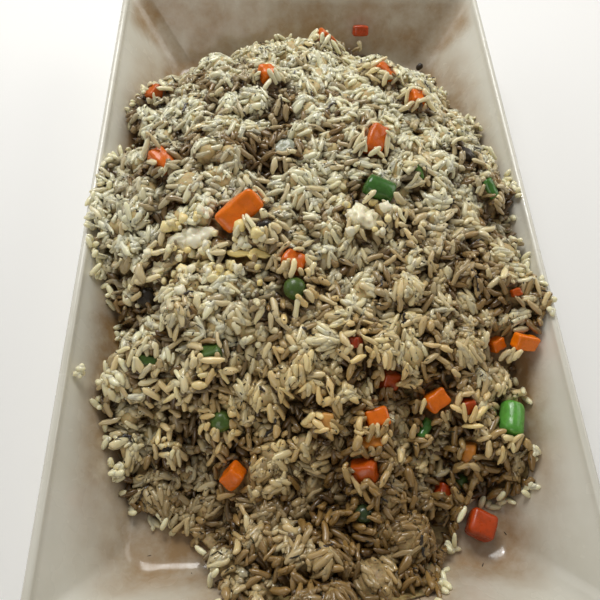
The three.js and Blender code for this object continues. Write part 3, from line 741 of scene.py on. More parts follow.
def settleGrains(bed, most):
    # One by one, each grain goes where the bed is lowest under the finished height and rests, along its axis,
    # on the highest of the lines through one support behind its middle and one ahead
    r, cell, half = riceShape, bedShape["cell"], riceShape["supports"]
    random = np.random.default_rng(seed)
    target, height = bed["target"], bed["height"]
    slopeX, slopeY = np.gradient(np.where(target > 0, target, bed["plate"]), cell)
    inner = bed["blocked"].copy()
    for axis in (0, 1):
        for step in (-bedShape["lap"], bedShape["lap"]):
            inner &= np.roll(bed["blocked"], step, axis)
    clear = ~inner & ~bed["bare"]
    area = np.sqrt(1 + slopeX ** 2 + slopeY ** 2)
    ladder = np.cumsum(np.where((bed["cover"] > r["leastCover"]) & clear, area, 0).ravel())
    count = r["draws"]
    draws = np.searchsorted(ladder, random.random((count, r["tries"])) * ladder[-1])
    grains = randomGrains(count, random)
    length, thick = grains["length"], grains["thick"]
    gx, gy = bed["gx"], bed["gy"]
    wide = noise(gx, gy, 0 * gx, r["bundleWider"] * r["bundlePitch"], 4)
    bundle = math.pi * (noise(gx, gy, 0 * gx, r["bundlePitch"], 3) + wide)
    angle = random.normal(0, r["bundleSpread"], count)
    perk = random.normal(0, r["perk"], count)
    probe = np.linspace(-r["supportReach"], r["supportReach"], 2 * half + 1)
    spans = probe[None, half + 1:] - probe[:half, None]
    rows, columns = height.shape
    flatTarget, flatHeight = target.ravel(), height.ravel()
    kept = []
    for n in range(count):
        room = flatTarget[draws[n]] - flatHeight[draws[n]]
        lowest = np.argmax(room)
        if room[lowest] < r["leastRoom"]:
            continue
        if len(kept) == most:
            break
        kept.append(n)
        i, j = divmod(int(draws[n][lowest]), columns)
        theta = bundle[i, j] + angle[n]
        c, s = math.cos(theta), math.sin(theta)
        pi = np.clip(np.rint(i + probe * length[n] / cell * c).astype(int), 0, rows - 1)
        pj = np.clip(np.rint(j + probe * length[n] / cell * s).astype(int), 0, columns - 1)
        h = height[pi, pj]
        slope = (h[None, half + 1:] - h[:half, None]) / (spans * length[n])
        under = h[:half, None] - slope * probe[:half, None] * length[n]
        pick = np.argmax(under)
        lean = min(max(slope.flat[pick] + perk[n], -r["steepest"]), r["steepest"])
        z = max(under.flat[pick], h[half]) + 0.5 * thick[n] * r["sink"] * math.sqrt(1 + lean * lean)
        sinking = r["looseSinking"] + (r["stickySinking"] - r["looseSinking"]) * bed["crown"][i, j]
        grains["centre"][n] = bed["x"][i], bed["y"][j], z
        grains["tilt"][n], grains["heading"][n] = math.atan(lean), theta
        layGrain(bed, grains, n, sinking)
    return {key: value[kept] for key, value in grains.items()}


def spindles(g, shape):
    # Rings of an ellipse along an axis that bends like 1 - t squared, with a point at each end
    t = np.array(shape["rings"])
    around = np.arange(shape["sides"]) * turn / shape["sides"]
    count = len(g["length"])
    along = 0.5 * g["length"][:, None, None] * t[None, :, None] * np.ones((1, 1, shape["sides"]))
    swell = (np.array(shape["ringWidths"]) * g.get("uneven", 1) * np.ones((count, 1)))[:, :, None]
    side = 0.5 * g["width"][:, None, None] * swell * np.cos(around)
    wobble = g.get("wobble", np.zeros((count, len(t), 2)))
    side = side + g["bend"][:, None, None] * (1 - t ** 2)[None, :, None] + wobble[:, :, :1]
    up = 0.5 * g["thick"][:, None, None] * swell * np.sin(around) + wobble[:, :, 1:]
    ends = np.zeros((count, 2, 3))
    ends[:, 0, 0], ends[:, 1, 0] = -0.5 * g["length"], 0.5 * g["length"]
    local = np.concatenate([np.stack([along, side, up], -1).reshape(count, -1, 3), ends], 1)
    ct, st = np.cos(g["tilt"]), np.sin(g["tilt"])
    ch, sh = np.cos(g["heading"]), np.sin(g["heading"])
    forward = np.stack([ch * ct, sh * ct, st], -1)
    flat = np.stack([-sh, ch, 0 * sh], -1)
    upward = np.cross(forward, flat)
    sideways = flat * np.cos(g["roll"])[:, None] + upward * np.sin(g["roll"])[:, None]
    basis = np.stack([forward, sideways, np.cross(forward, sideways)], 1)
    return np.einsum("nki,nij->nkj", local, basis) + g["centre"][:, None, :]


def spindleFaces(count, shape):
    rings, sides = len(shape["rings"]), shape["sides"]
    each = rings * sides + 2
    quads = repeated(gridFaces(rings, sides), count, each)
    return quads, repeated(capFaces(rings, sides, each - 2, each - 1), count, each)


def riceMaterial():
    # Cool to warm by a painted tint that is partly stain and partly painted light, browner by sauce and
    # painted shade, darker by the painted shade of depth, each grain a little lighter or darker
    r = riceShape
    material, tree, shader = newMaterial("cooked_rice", SubsurfaceWeight=0.5, SubsurfaceScale=0.0015,
                                         SubsurfaceRadius=(1.0, 0.9, 0.72), IOR=1.42, CoatWeight=0.7,
                                         CoatRoughness=0.1)
    unbrowned = mixColour(tree, attribute(tree, "stain"), r["cool"], r["warm"])
    browned = mixColour(tree, attribute(tree, "sauce_and_shade"), unbrowned, r["stained"])
    colour = mixColour(tree, attribute(tree, "depth"), browned, r["deep"])
    shade = mapped(tree, attribute(tree, "tone"), 0.0, 1.0, r["toneLow"], r["toneHigh"])
    toned = place(tree, "ShaderNodeVectorMath", {0: colour, 1: shade}, operation="MULTIPLY")
    tree.links.new(toned.outputs[0], shader.inputs["Base Color"])
    surface(tree, shader, r["film"])
    return material


def warmth(x, y, crown, random):
    # Rises towards the viewer, where it paints warm shade, and towards the right; an oily pool of warm grains
    # lies on the near middle; crowns are cooler, a painted tint of cool light
    w = warmShape
    across = eased((w["nearFrom"] - y) / w["nearOver"]) * w["near"] + w["right"] * np.tanh(x / w["rightOver"])
    away = [((v - middle) / reach) ** 2 for v, middle, reach in zip((x, y), w["poolPlace"], w["poolReach"])]
    warm = w["base"] + across + w["pool"] * np.exp(-away[0] - away[1])
    warm = warm + w["noise"] * noise(x, y, 0 * x, w["pitch"], 11)
    return np.clip(np.clip(warm, 0, 1) + random.normal(0, w["chance"], len(x)) + w["crown"] * crown, 0, 1)


def browning(x, y, z, high, shared, random):
    # Browner low between the clumps, a painted shade, and in patches, by clump, to the near right and in the
    # near end
    s = browningShape
    sauce_and_shade = s["fine"] * noise(x, y, z, s["finePitch"], 12) + s["low"] * (1 - high) + s["base"]
    sauce_and_shade = sauce_and_shade + s["broad"] * noise(x, y, 0 * z, s["broadPitch"], 13) + s["shared"] * (shared - 0.5)
    sauce_and_shade = sauce_and_shade + s["right"] * np.tanh(x / s["rightOver"]) * eased((s["rightFrom"] - y) / s["rightFade"])
    sauce_and_shade = sauce_and_shade + s["odd"] * (random.random(len(x)) > 1 - s["oddShare"])
    return np.clip(sauce_and_shade + s["near"] * eased((s["nearFrom"] - y) / s["nearOver"]), 0, s["most"])


def buildRice(grains, bed):
    # Grains are dealt out along the dish into pieces of one size
    r = riceShape
    material = riceMaterial()
    x, y, z = grains["centre"].T
    final, crown = atBed(bed, "top", x, y), atBed(bed, "crown", x, y)
    around = blurred(bed["top"][::4, ::4], r["hollowReach"], 4 * bedShape["cell"])
    around = between(around, bed["x"][::4], bed["y"][::4], x, y)
    # Painted shade: buried grains and grains in hollows between clumps are painted darker by depth
    buried = eased((final - z - r["buriedFrom"]) / r["buriedOver"])
    sticky = eased((grains["sticky"] - r["crownFrom"]) / r["crownOver"])
    crown = np.where(grains["sticky"] != 0, sticky, crown)
    hollow = eased((around - final - r["hollowFrom"]) / r["hollowOver"]) * (1 - r["hollowKept"] * crown)
    depth = np.maximum(buried, r["hollowShare"] * hollow) * r["deepest"]
    random = np.random.default_rng(seed + 20)
    high = np.maximum(crown, eased((z - around - browningShape["highFrom"]) / browningShape["highOver"]))
    sauce_and_shade = browning(x, y, z, high, grains["shared"], random)
    stain = warmth(x, y, crown, random)
    for k, share in enumerate(np.array_split(np.argsort(y), r["pieces"])):
        part = {key: value[share] for key, value in grains.items()}
        points = spindles(part, r)
        each = points.shape[1]
        quads, tris = spindleFaces(len(share), r)
        name = f"rice_grains_{k + 1}"
        piece = makePiece(name, points.reshape(-1, 3), quads, tris, material, ("rice_heap",))
        for name, values in (("tone", grains["tone"]), ("stain", stain), ("sauce_and_shade", sauce_and_shade)):
            paint(piece, name, np.repeat(values[share], each))
        # Painted shade under each grain: a point darkens the farther it lies under the rice's top
        over = atBed(bed, "top", points[:, :, 0], points[:, :, 1]) - points[:, :, 2]
        low = r["shadeMost"] * eased((over - r["shadeFrom"]) / r["shadeReach"])
        paint(piece, "depth", np.maximum(low, depth[share][:, None]).ravel())


# Toppings: each takes its form from its CAD node, with rounded edges and the unevenness of cut food

# Cosines between the faces of one side and between two sides
sideShape = {"flat": 0.98, "nearlyFlat": 0.95, "across": 0.3}


def cubeGrid(steps):
    # Points of a cube's six faces, -1 to 1, each shared point once, and their quads
    corner, quads = [], []
    i, j = np.meshgrid(np.arange(steps + 1), np.arange(steps + 1), indexing="ij")
    index = np.arange((steps + 1) ** 2).reshape(steps + 1, steps + 1)
    flat = np.stack([index[:-1, :-1], index[1:, :-1], index[1:, 1:], index[:-1, 1:]], -1).reshape(-1, 4)
    for axis in range(3):
        for side in (0, steps):
            face = np.zeros((steps + 1, steps + 1, 3), dtype=int)
            face[..., axis], face[..., (axis + 1) % 3], face[..., (axis + 2) % 3] = side, i, j
            quads.append((flat if side else flat[:, ::-1]) + len(corner) * (steps + 1) ** 2)
            corner.append(face.reshape(-1, 3))
    points, shared = np.unique(np.concatenate(corner), axis=0, return_inverse=True)
    return 2 * points / steps - 1, shared.reshape(-1)[np.concatenate(quads)]


def ownAxes(points, tris):
    # The directions of the two largest flat sides of a node, squared up, and the third across both
    a, b, c = [points[tris[:, k]] for k in range(3)]
    normals = np.cross(b - a, c - a)
    sizes = np.linalg.norm(normals, axis=1)
    units = normals / np.maximum(sizes, 1e-9)[:, None]
    alike = np.abs(units @ units.T)
    first = units[np.argmax((alike > sideShape["flat"]) @ sizes)]
    across = np.abs(units @ first) < sideShape["across"]
    sideways = np.where(across, (alike > sideShape["nearlyFlat"]) @ sizes, 0)
    second = units[np.argmax(sideways)]
    second = unit(second - first * (second @ first))
    return np.stack([first, second, np.cross(first, second)])


def softened(name, steps, smoothing):
    # The node's surface as a cube grid pushed out to it: the reach along each direction is one over the sum
    # of the direction's weights on the corners of the face that it goes through; then each point is averaged
    # with its neighbours, which rounds the edges
    points, tris = nodeArrays(name)
    middle = 0.5 * (points.min(0) + points.max(0))
    axes = ownAxes(points, tris)
    local = (points - middle) @ axes.T
    half = np.abs(local).max(0)
    grid, quads = cubeGrid(steps)
    towards = grid * half
    faces = local[tris]
    weights = np.einsum("tij,dj->dti", np.linalg.inv(faces.transpose(0, 2, 1)), towards)
    through = weights.min(2) > -1e-6
    reach = np.where(through, 1 / np.maximum(weights.sum(2), 1e-9), 0).max(1)
    shape = towards * reach[:, None]
    edges = np.concatenate([quads[:, [k, (k + 1) % 4]] for k in range(4)])
    for _ in range(smoothing):
        total, count = np.zeros_like(shape), np.zeros(len(shape))
        np.add.at(total, edges[:, 0], shape[edges[:, 1]])
        np.add.at(count, edges[:, 0], 1)
        shape = 0.5 * shape + 0.5 * total / count[:, None]
    return shape @ axes + middle, quads, middle


toppingShape = {
    # steps: faces along a side; smoothing: rounds; bulge and crinkle: [height, pitch] of the unevenness
    # shades: from 0, the first colour, to 1, the second, for the pieces that differ from the rest
    "carrot": {
        "steps": 11, "smoothing": 3, "bulge": [0.8, 5], "crinkle": [0.14, 1.2], "shade": 0.62, "spread": 0.16,
        # Carrots 14, 16 and 18 lie in shade: their low shades, a darker red, are partly the carrots' own red
        # and partly painted shade
        "shades": {1: 0.55, 2: 0.75, 3: 0.6, 4: 0.7, 5: 0.5, 6: 0.45, 8: 0.85, 9: 0.55, 10: 0.3, 11: 1.0,
                   12: 0.8, 13: 0.05, 14: 0.2, 15: 0.75, 16: 0.15, 18: 0.3, 20: 0.1},
        "colours": [tint(150, 42, 12), tint(255, 130, 8)],
    },
    "yellow_carrot": {
        "steps": 11, "smoothing": 2, "bulge": [0.5, 6], "crinkle": [0.12, 1.2], "shade": 0.3, "spread": 0.1,
        "shades": {3: 1.0}, "colours": [tint(232, 140, 26), tint(226, 170, 92)],
    },
    "stray_carrot": {
        "steps": 11, "smoothing": 2, "bulge": [0.4, 6], "crinkle": [0.1, 1.2], "shade": 0.3, "spread": 0.05,
        "shades": {2: 0.25}, "colours": [tint(176, 56, 8), tint(226, 98, 28)],
    },
    "pea": {
        "steps": 10, "smoothing": 1, "bulge": [0.35, 4], "crinkle": [0.1, 1.0], "shade": 0.4, "spread": 0.2,
        "shades": {1: 0.8, 5: 0.0}, "colours": [tint(50, 66, 34), tint(98, 132, 52)],
    },
    "green_bean": {
        "steps": 12, "smoothing": 5, "bulge": [0.5, 6], "crinkle": [0.06, 1.4], "shade": 0.4, "spread": 0.1,
        "shades": {1: 0.3, 2: 0.5, 4: 1.0}, "colours": [tint(42, 70, 30), tint(96, 168, 66)],
    },
    "green_sliver": {
        "steps": 8, "smoothing": 2, "bulge": [0.5, 4], "crinkle": [0.15, 1.2], "shade": 0.4, "spread": 0.2,
        "shades": {1: 0.9}, "colours": [tint(52, 62, 30), tint(84, 122, 46)],
    },
    "mushroom": {
        "steps": 10, "smoothing": 1, "bulge": [0.9, 4], "crinkle": [0.3, 1.4], "shade": 0.3, "spread": 0.2,
        "shades": {3: 0.1, 5: 0.9}, "colours": [tint(34, 30, 26), tint(86, 70, 50)],
    },
    "stray_bean": {
        "steps": 8, "smoothing": 1, "bulge": [0.4, 3], "crinkle": [0.1, 1.2], "shade": 0.4, "spread": 0.1,
        "shades": {}, "colours": [tint(40, 32, 24), tint(70, 54, 38)],
    },
    "egg": {
        "steps": 26, "smoothing": 1, "bulge": [2.2, 4.5], "crinkle": [1.3, 1.8], "shade": 0.4, "spread": 0.1,
        "shades": {1: 0.0, 2: 0.12, 3: 0.3, 4: 0.5, 5: 0.85},
        "colours": [tint(255, 248, 220), tint(252, 224, 136)],
    },
    "onion": {
        "steps": 12, "smoothing": 2, "bulge": [1.4, 3.5], "crinkle": [0.4, 1.5], "shade": 0.5, "spread": 0.1,
        "shades": {}, "colours": [tint(160, 164, 146), tint(190, 192, 170)],
    },
}
toppingLook = {
    "inset": 0.3,  # the surface goes in by this share of the bulge, so that the piece keeps its size
    "dark": (0.02, 0.012, 0.006, 1), "scale": 420, "bias": 0.45, "film": [300, 1300, 0.3, 0.15],
}
toppingFinish = {
    # Roughness where the oil film is thin and where it is thick, how strongly the colour is mottled with a
    # darker one, and the share of light that goes under the surface
    "carrot": [0.4, 0.2, 0.15, 0.15], "yellow_carrot": [0.4, 0.2, 0.22, 0.25],
    "stray_carrot": [0.45, 0.25, 0.28, 0.08], "pea": [0.4, 0.22, 0.25, 0.15],
    "green_bean": [0.3, 0.12, 0.3, 0.15], "green_sliver": [0.45, 0.25, 0.3, 0.1],
    "mushroom": [0.45, 0.2, 0.4, 0.0], "stray_bean": [0.45, 0.25, 0.3, 0.0],
    "egg": [0.45, 0.25, 0.08, 0.3], "onion": [0.3, 0.12, 0.2, 0.5],
}


def toppingMaterial(kind):
    # Between the kind's two colours by the painted shade, mottled with a darker mix of the same
    dry, wet, streak, under = toppingFinish[kind]
    material, tree, shader = newMaterial("cooked_" + kind, SubsurfaceWeight=under, SubsurfaceScale=0.0015,
                                         SubsurfaceRadius=(1.0, 0.8, 0.55), IOR=1.42, CoatWeight=0.25,
                                         CoatRoughness=0.1)
    base = mixColour(tree, attribute(tree, "shade"), *toppingShape[kind]["colours"])
    darker = mixColour(tree, streak, base, toppingLook["dark"])
    colour = mottled(tree, darker, base, toppingLook["scale"], toppingLook["bias"])
    tree.links.new(colour, shader.inputs["Base Color"])
    surface(tree, shader, [dry, wet, *toppingLook["film"]])
    return material


def buildToppings(kind):
    look = toppingShape[kind]
    random = np.random.default_rng(seed + 30 + list(toppingShape).index(kind))
    names = nodesOf(kind)
    allPoints, allQuads, shades, start = [], [], [], 0
    for name in names:
        points, quads, middle = softened(name, look["steps"], look["smoothing"])
        outward = unit(points - middle)
        push = 0
        for channel, (height, pitch) in enumerate((look["bulge"], look["crinkle"])):
            push = push + height * noise(*points.T, pitch, 14 + channel)
        points = points + outward * (push - look["bulge"][0] * toppingLook["inset"])[:, None]
        shade = look["shades"].get(numberOf(name), random.normal(look["shade"], look["spread"]))
        shades.append(np.full(len(points), np.clip(shade, 0, 1)))
        allPoints.append(points)
        allQuads.append(quads + start)
        start += len(points)
    piece = makePiece(kind + "_pieces", np.concatenate(allPoints), np.concatenate(allQuads), [],
                      toppingMaterial(kind), names)
    paint(piece, "shade", np.concatenate(shades))


# Small things on the rice and on the dish

fleckShape = {
    "count": 2000, "length": 1.5, "lengthSpread": 0.6, "width": 0.62, "thick": 0.4, "lift": 0.12,
    "shortest": 0.6, "longest": 5, "widths": [0.5, 1.5], "roll": 0.5, "bend": 0.2,
    "leastCover": 0.6, "patchPitch": 18, "patchEven": 1.15,  # more of them where a noise is high
    "rings": [-0.45, 0.45], "ringWidths": [0.8, 0.7], "sides": 4,
    "dark": tint(34, 25, 14), "green": tint(62, 62, 28), "film": [0.8, 0.6, 300, 1500, 0.2, 0.1],
    "onDish": [[46, 149], [50, -143], [-70, -139], [78, -134], [-52, -146], [84, -70], [-93, -36],
               [66, -146]],
}
shredShape = {
    # Dark shreds on the rice, as in the CAD heap: x, y, length, direction in degrees
    "places": [
        [68, -39, 13, -60], [-80, -95, 8, 15], [-73, -115, 7, 60], [-62, 62, 9, 75], [10, 55, 7, 20],
        [35, 108, 6, 30], [-45, 48, 8, -30], [62, 0, 8, 50], [-55, -45, 8, 15], [-5, -62, 8, -30],
        [35, -55, 7, 70], [-20, -95, 8, 40], [38, -140, 8, -80], [0, -140, 7, 25],
    ],
    "more": 46, "leastCover": 0.75, "lengths": [3, 8], "sizes": [0.35, 0.8],  # shorter ones anywhere
    "steps": 12, "sides": 6, "width": 1.3, "thick": 0.55, "ends": 0.35, "lift": 0.25,
    "curl": 1.1, "step": 0.45, "curlLength": 10,  # how far a strand of this length wanders
    "dark": tint(26, 22, 18), "brown": tint(66, 50, 32), "scale": 350,
    "film": [0.45, 0.22, 300, 1200, 0.3, 0.15],
}
crumbShape = {
    "count": 26, "spread": 4.0, "away": 2.5, "size": [1.0, 2.6], "uneven": [0.7, 1.3], "steps": 3,
    "noise": 0.4, "pitch": 1.6, "lift": 0.2, "palest": 0.8,
    "blur": 0.8, "blocked": 0.45,  # left out where the blurred toppings come to more than this
}
strayShape = {
    "clumps": {"stray_rice_1": 11, "stray_rice_2": 5}, "clumpLengths": [3.2, 5.5], "clumpTilt": 0.35,
    "across": [0.25, 0.75], "upward": [0.35, 0.75],  # where a clump's grains lie in the box of its CAD node
    "single": [0.3, 7.5],  # slope and length of the grain at stray_grain_1
    "foot": 230, "footReach": [0.12, 0.5],  # loose grains along the rice's edge, by its blurred cover
    "grains": [[-78, 133, 0.3], [-96, 20, 1.2], [101, -34, 2.4]],  # x, y and heading of single grains
    "blur": 1.5, "blocked": 0.01, "lift": 0.9, "lengths": [3.5, 8],
    "widthSpread": 0.2, "roll": 0.5, "bend": 0.3,
    "paint": {"tone": 0.9, "stain": 0.2, "sauce_and_shade": 0.05, "depth": 0.0},
}
topStep, topSteepest = 1.0, 1.5  # how far apart two heights are taken for a slope, and the largest slope


def topOf(bed, x, y):
    # Height of the settled rice and its slope along each axis
    height = atBed(bed, "top", x, y)
    aside = atBed(bed, "top", x + topStep, y), atBed(bed, "top", x, y + topStep)
    return height, *[np.clip((value - height) / topStep, -topSteepest, topSteepest) for value in aside]


def buildFlecks(bed):
    # Herb and pepper specks: flat spindles that lie along the rice's slope
    f = fleckShape
    random = np.random.default_rng(seed + 50)
    free = freeSpots(bed, f["leastCover"])
    odds = noise(bed["gx"], bed["gy"], 0 * bed["gx"], f["patchPitch"], 51).ravel()[free] + f["patchEven"]
    x, y = spotPlaces(bed, random.choice(free, f["count"], p=odds / odds.sum()))
    x, y = np.concatenate([np.stack([x, y], 1), f["onDish"]]).T
    count = len(x)
    height, slopeX, slopeY = topOf(bed, x, y)
    heading = random.uniform(0, turn, count)
    length = random.lognormal(math.log(f["length"]), f["lengthSpread"], count)
    length = np.clip(length, f["shortest"], f["longest"])
    g = {"centre": np.stack([x, y, height + f["lift"]], 1), "heading": heading,
         "tilt": np.arctan(slopeX * np.cos(heading) + slopeY * np.sin(heading)),
         "roll": random.normal(0, f["roll"], count), "length": length,
         "width": f["width"] * random.uniform(*f["widths"], count), "thick": np.full(count, f["thick"]),
         "bend": random.normal(0, f["bend"], count)}
    points = spindles(g, f)
    quads, tris = spindleFaces(count, f)
    material, tree, shader = newMaterial("herb_specks")
    colour = mixColour(tree, attribute(tree, "tone"), f["dark"], f["green"])
    tree.links.new(colour, shader.inputs["Base Color"])
    surface(tree, shader, f["film"])
    piece = makePiece("herb_flecks", points.reshape(-1, 3), quads, tris, material)
    paint(piece, "tone", np.repeat(random.random(count) ** 2, points.shape[1]))


def buildShreds(bed):
    # A flattened tube carried along a path that wanders sideways and follows the rice's height
    s = shredShape
    random = np.random.default_rng(seed + 60)
    rows = [row + [1.0] for row in s["places"]]
    for spot in random.choice(freeSpots(bed, s["leastCover"]), s["more"]):
        rows.append([*spotPlaces(bed, spot), random.uniform(*s["lengths"]), random.uniform(0, 360),
                     random.uniform(*s["sizes"])])
    rows = np.array(rows)
    count = len(rows)
    t = np.linspace(-0.5, 0.5, s["steps"])
    heading = np.radians(rows[:, 3])[:, None]
    wander = np.cumsum(random.normal(0, s["step"], (count, s["steps"])), 1)
    wander = s["curl"] * wander * (rows[:, 2:3] / s["curlLength"])
    wander -= wander.mean(1, keepdims=True)
    along = rows[:, 2:3] * t
    x = rows[:, 0:1] + along * np.cos(heading) - wander * np.sin(heading)
    y = rows[:, 1:2] + along * np.sin(heading) + wander * np.cos(heading)
    z = atBed(bed, "top", x, y)
    z = (z + np.roll(z, 1, 1) + np.roll(z, -1, 1)) / 3 + s["lift"]
    z[:, 0], z[:, -1] = z[:, 1], z[:, -2]
    path = np.stack([x, y, z], -1)
    forward = unit(np.gradient(path, axis=1))
    side = unit(np.cross([0, 0, 1.0], forward))
    up = np.cross(forward, side)
    swell = s["ends"] + (1 - s["ends"]) * np.sqrt(np.maximum(1 - (2 * t) ** 2, 0))
    swell = swell[None, :, None, None] * rows[:, 4][:, None, None, None]
    around = np.arange(s["sides"]) * turn / s["sides"]
    ring = (0.5 * s["width"] * np.cos(around)[None, None, :, None] * side[:, :, None]
            + 0.5 * s["thick"] * np.sin(around)[None, None, :, None] * up[:, :, None])
    tube = (path[:, :, None] + swell * ring).reshape(count, -1, 3)
    points = np.concatenate([tube, path[:, [0, -1]]], 1)
    each = points.shape[1]
    quads = repeated(gridFaces(s["steps"], s["sides"]), count, each)
    tris = repeated(capFaces(s["steps"], s["sides"], each - 2, each - 1), count, each)
    material, tree, shader = newMaterial("dark_shreds", CoatWeight=0.3, CoatRoughness=0.15)
    tree.links.new(mottled(tree, s["dark"], s["brown"], s["scale"]), shader.inputs["Base Color"])
    surface(tree, shader, s["film"])
    makePiece("dark_shreds_on_rice", points.reshape(-1, 3), quads, tris, material)


def buildEggCrumbs(bed):
    # Lumps about each egg piece: a cube grid pushed out to a ball, times one plus a noise
    c = crumbShape
    random = np.random.default_rng(seed + 70)
    grid, quads = cubeGrid(c["steps"])
    ball = unit(grid)
    blocked = blurred(bed["blocked"].astype(float), c["blur"], bedShape["cell"])
    allPoints, shades = [], []
    for name in nodesOf("egg"):
        middle = nodeArrays(name)[0].mean(0)
        for away in random.normal(0, c["spread"], (c["count"], 2)):
            spot = middle[:2] + away + np.sign(away) * c["away"]
            sizes = random.uniform(*c["size"]) * random.uniform(*c["uneven"], 3)
            if between(blocked, bed["x"], bed["y"], *spot[:, None])[0] > c["blocked"]:
                continue
            lump = ball * sizes
            lump = lump * (1 + c["noise"] * noise(*(lump + [*spot, 0]).T, c["pitch"], 19))[:, None]
            allPoints.append(lump + [*spot, topOf(bed, *spot[:, None])[0][0] + c["lift"]])
            shades.append(np.full(len(lump), random.uniform(0, c["palest"])))
    quads = repeated(quads, len(allPoints), len(grid))
    piece = makePiece("egg_crumbs", np.concatenate(allPoints), quads, [], toppingMaterial("egg"))
    paint(piece, "shade", np.concatenate(shades))


def buildStrayRice(bed):
    # The two loose clumps and the single grains on the dish's walls
    r, s = riceShape, strayShape
    random = np.random.default_rng(seed + 70)
    rows = []
    for name, count in s["clumps"].items():
        low, high = [np.array(corner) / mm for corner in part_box(name)]
        spots = low + (high - low) * random.uniform(*s["across"], (count, 3))
        spots[:, 2] = low[2] + (high[2] - low[2]) * np.linspace(*s["upward"], count)
        for spot in spots:
            rows.append([*spot, random.uniform(0, turn), random.normal(0, s["clumpTilt"]),
                         random.uniform(*s["clumpLengths"])])
    low, high = [np.array(corner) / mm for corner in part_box("stray_grain_1")]
    rows.append([*(0.5 * (low + high)), math.atan2(high[1] - low[1], high[0] - low[0]), *s["single"]])
    low, high = s["footReach"]
    taken = blurred(bed["blocked"].astype(float), s["blur"], bedShape["cell"]) > s["blocked"]
    beside = np.flatnonzero(((bed["cover"] > low) & (bed["cover"] < high) & ~taken).ravel())
    loose = [[*spotPlaces(bed, spot), random.uniform(0, turn)] for spot in random.choice(beside, s["foot"])]
    for x, y, heading in s["grains"] + loose:
        height, slopeX, slopeY = topOf(bed, np.array([x]), np.array([y]))
        tilt = math.atan(slopeX[0] * math.cos(heading) + slopeY[0] * math.sin(heading))
        rows.append([x, y, height[0] + s["lift"], heading, tilt, random.uniform(*s["lengths"])])
    rows = np.array(rows, dtype=float)
    count = len(rows)
    width = random.normal(r["width"], s["widthSpread"], count)
    g = {"centre": rows[:, :3], "heading": rows[:, 3], "tilt": rows[:, 4], "length": rows[:, 5],
         "width": width, "thick": width * r["flatness"], "roll": random.uniform(-s["roll"], s["roll"], count),
         "bend": random.normal(0, s["bend"], count)}
    points = spindles(g, r)
    quads, tris = spindleFaces(count, r)
    shown = nodesOf("stray_rice") + nodesOf("stray_grain")
    piece = makePiece("stray_rice_grains", points.reshape(-1, 3), quads, tris,
                      bpy.data.materials["cooked_rice"], shown)
    for name, value in s["paint"].items():
        paint(piece, name, np.full(count * points.shape[1], value))


# The making

bed = makeBed([name for kind in toppingShape for name in nodesOf(kind)])
print("bed of", bed["height"].shape)
buildDish(bed)
print("dish made")
tufts = placeTufts(bed)
raiseTufts(bed, tufts)
print("tufts placed:", len(tufts["reach"]))
buildCore(bed)
print("core made")
sticky = coverTufts(bed, tufts)
for n in range(len(sticky["length"])):
    layGrain(bed, sticky, n, riceShape["stickySinking"])
loose = settleGrains(bed, riceShape["mostLoose"])
grains = {key: np.concatenate([sticky[key], loose[key]]) for key in loose}
print("grains on tufts:", len(sticky["length"]), "settled:", len(loose["length"]))
buildRice(grains, bed)
for kind in toppingShape:
    buildToppings(kind)
print("toppings made")
buildFlecks(bed)
buildShreds(bed)
buildStrayRice(bed)
buildEggCrumbs(bed)
print("flecks, shreds and stray grains made")


# Floor, light and camera

stageShape = {
    "floor": 6.0, "floorTint": tint(250, 250, 249), "floorZ": -0.0005,
    "key": [[-0.08, 0.55, 0.65], 0.45, 4.2, (1.0, 0.99, 0.96)],  # place, width, watts, colour
    "glint": [[-0.3, 0.6, 0.8], 0.05, 0.9, (0.98, 0.99, 1.0)],
    "right": [[0.9, 0.4, 0.5], 0.7, 2.7, (1.0, 0.96, 0.9)],
    "left": [[-0.9, 0.35, 0.5], 0.7, 1.5, (1.0, 0.98, 0.95)],
    "front": [[-0.3, -0.85, 0.4], 0.5, 1.4, (1.0, 0.94, 0.86)],
    "sky": (1.0, 0.97, 0.92, 1), "skyStrength": 0.22,
}
cameraShape = {
    "place": [-19.2, -163.4, 272.8], "pitch": 61.87, "yaw": 5.62, "roll": -4.58,
    "focal": 600, "frame": 600,  # in pixels of the photograph
    "sensor": 36, "nearest": 0.01,
}


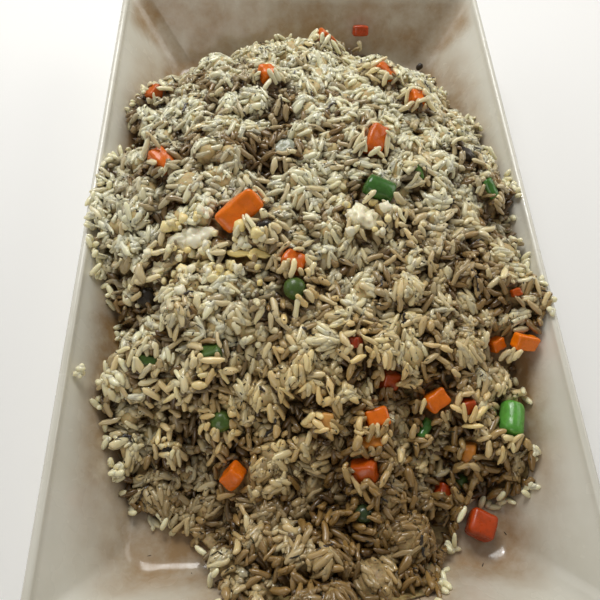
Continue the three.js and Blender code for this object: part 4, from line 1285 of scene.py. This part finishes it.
def buildStage():
    s = stageShape
    half, z = s["floor"] / 2, s["floorZ"]
    mesh = bpy.data.meshes.new("floor")
    corners = [(-half, -half, z), (half, -half, z), (half, half, z), (-half, half, z)]
    mesh.from_pydata(corners, [], [(0, 1, 2, 3)])
    material, tree, shader = newMaterial("pale_floor", Roughness=0.9)
    tree.links.new(mottled(tree, s["floorTint"], s["floorTint"], 3), shader.inputs["Base Color"])
    mesh.materials.append(material)
    floor = bpy.data.objects.new("floor", mesh)
    scene.collection.objects.link(floor)
    for name in ("key", "glint", "right", "left", "front"):
        spot, size, watts, colour = s[name]
        lamp = bpy.data.lights.new(name, "AREA")
        lamp.size = size
        lamp.energy = watts
        lamp.color = colour
        made = bpy.data.objects.new(name, lamp)
        away = Vector(spot)
        made.matrix_world = Matrix.Translation(away) @ away.to_track_quat("Z", "Y").to_matrix().to_4x4()
        scene.collection.objects.link(made)
    world = bpy.data.worlds.new("soft_sky")
    world.use_nodes = True
    world.node_tree.nodes["Background"].inputs["Color"].default_value = s["sky"]
    world.node_tree.nodes["Background"].inputs["Strength"].default_value = s["skyStrength"]
    scene.world = world


def buildCamera():
    # Looks down by pitch, turned by yaw about the upright, then rolled about its own view
    c = cameraShape
    pitch, yaw, roll = [math.radians(c[k]) for k in ("pitch", "yaw", "roll")]
    ahead = Vector((math.sin(yaw) * math.cos(pitch), math.cos(yaw) * math.cos(pitch), -math.sin(pitch)))
    right = Vector((math.cos(yaw), -math.sin(yaw), 0))
    below = ahead.cross(right)
    turnedRight = right * math.cos(roll) + below * math.sin(roll)
    turnedBelow = below * math.cos(roll) - right * math.sin(roll)
    view = Matrix((turnedRight, -turnedBelow, -ahead)).transposed().to_4x4()
    data = bpy.data.cameras.new("photo_view")
    data.sensor_width = c["sensor"]
    data.sensor_fit = "HORIZONTAL"
    data.lens = data.sensor_width * c["focal"] / c["frame"]
    data.clip_start = c["nearest"]
    made = bpy.data.objects.new("photo_view", data)
    made.matrix_world = Matrix.Translation(Vector(c["place"]) * mm) @ view
    scene.collection.objects.link(made)
    scene.camera = made


buildStage()
buildCamera()
print("stage and camera made")
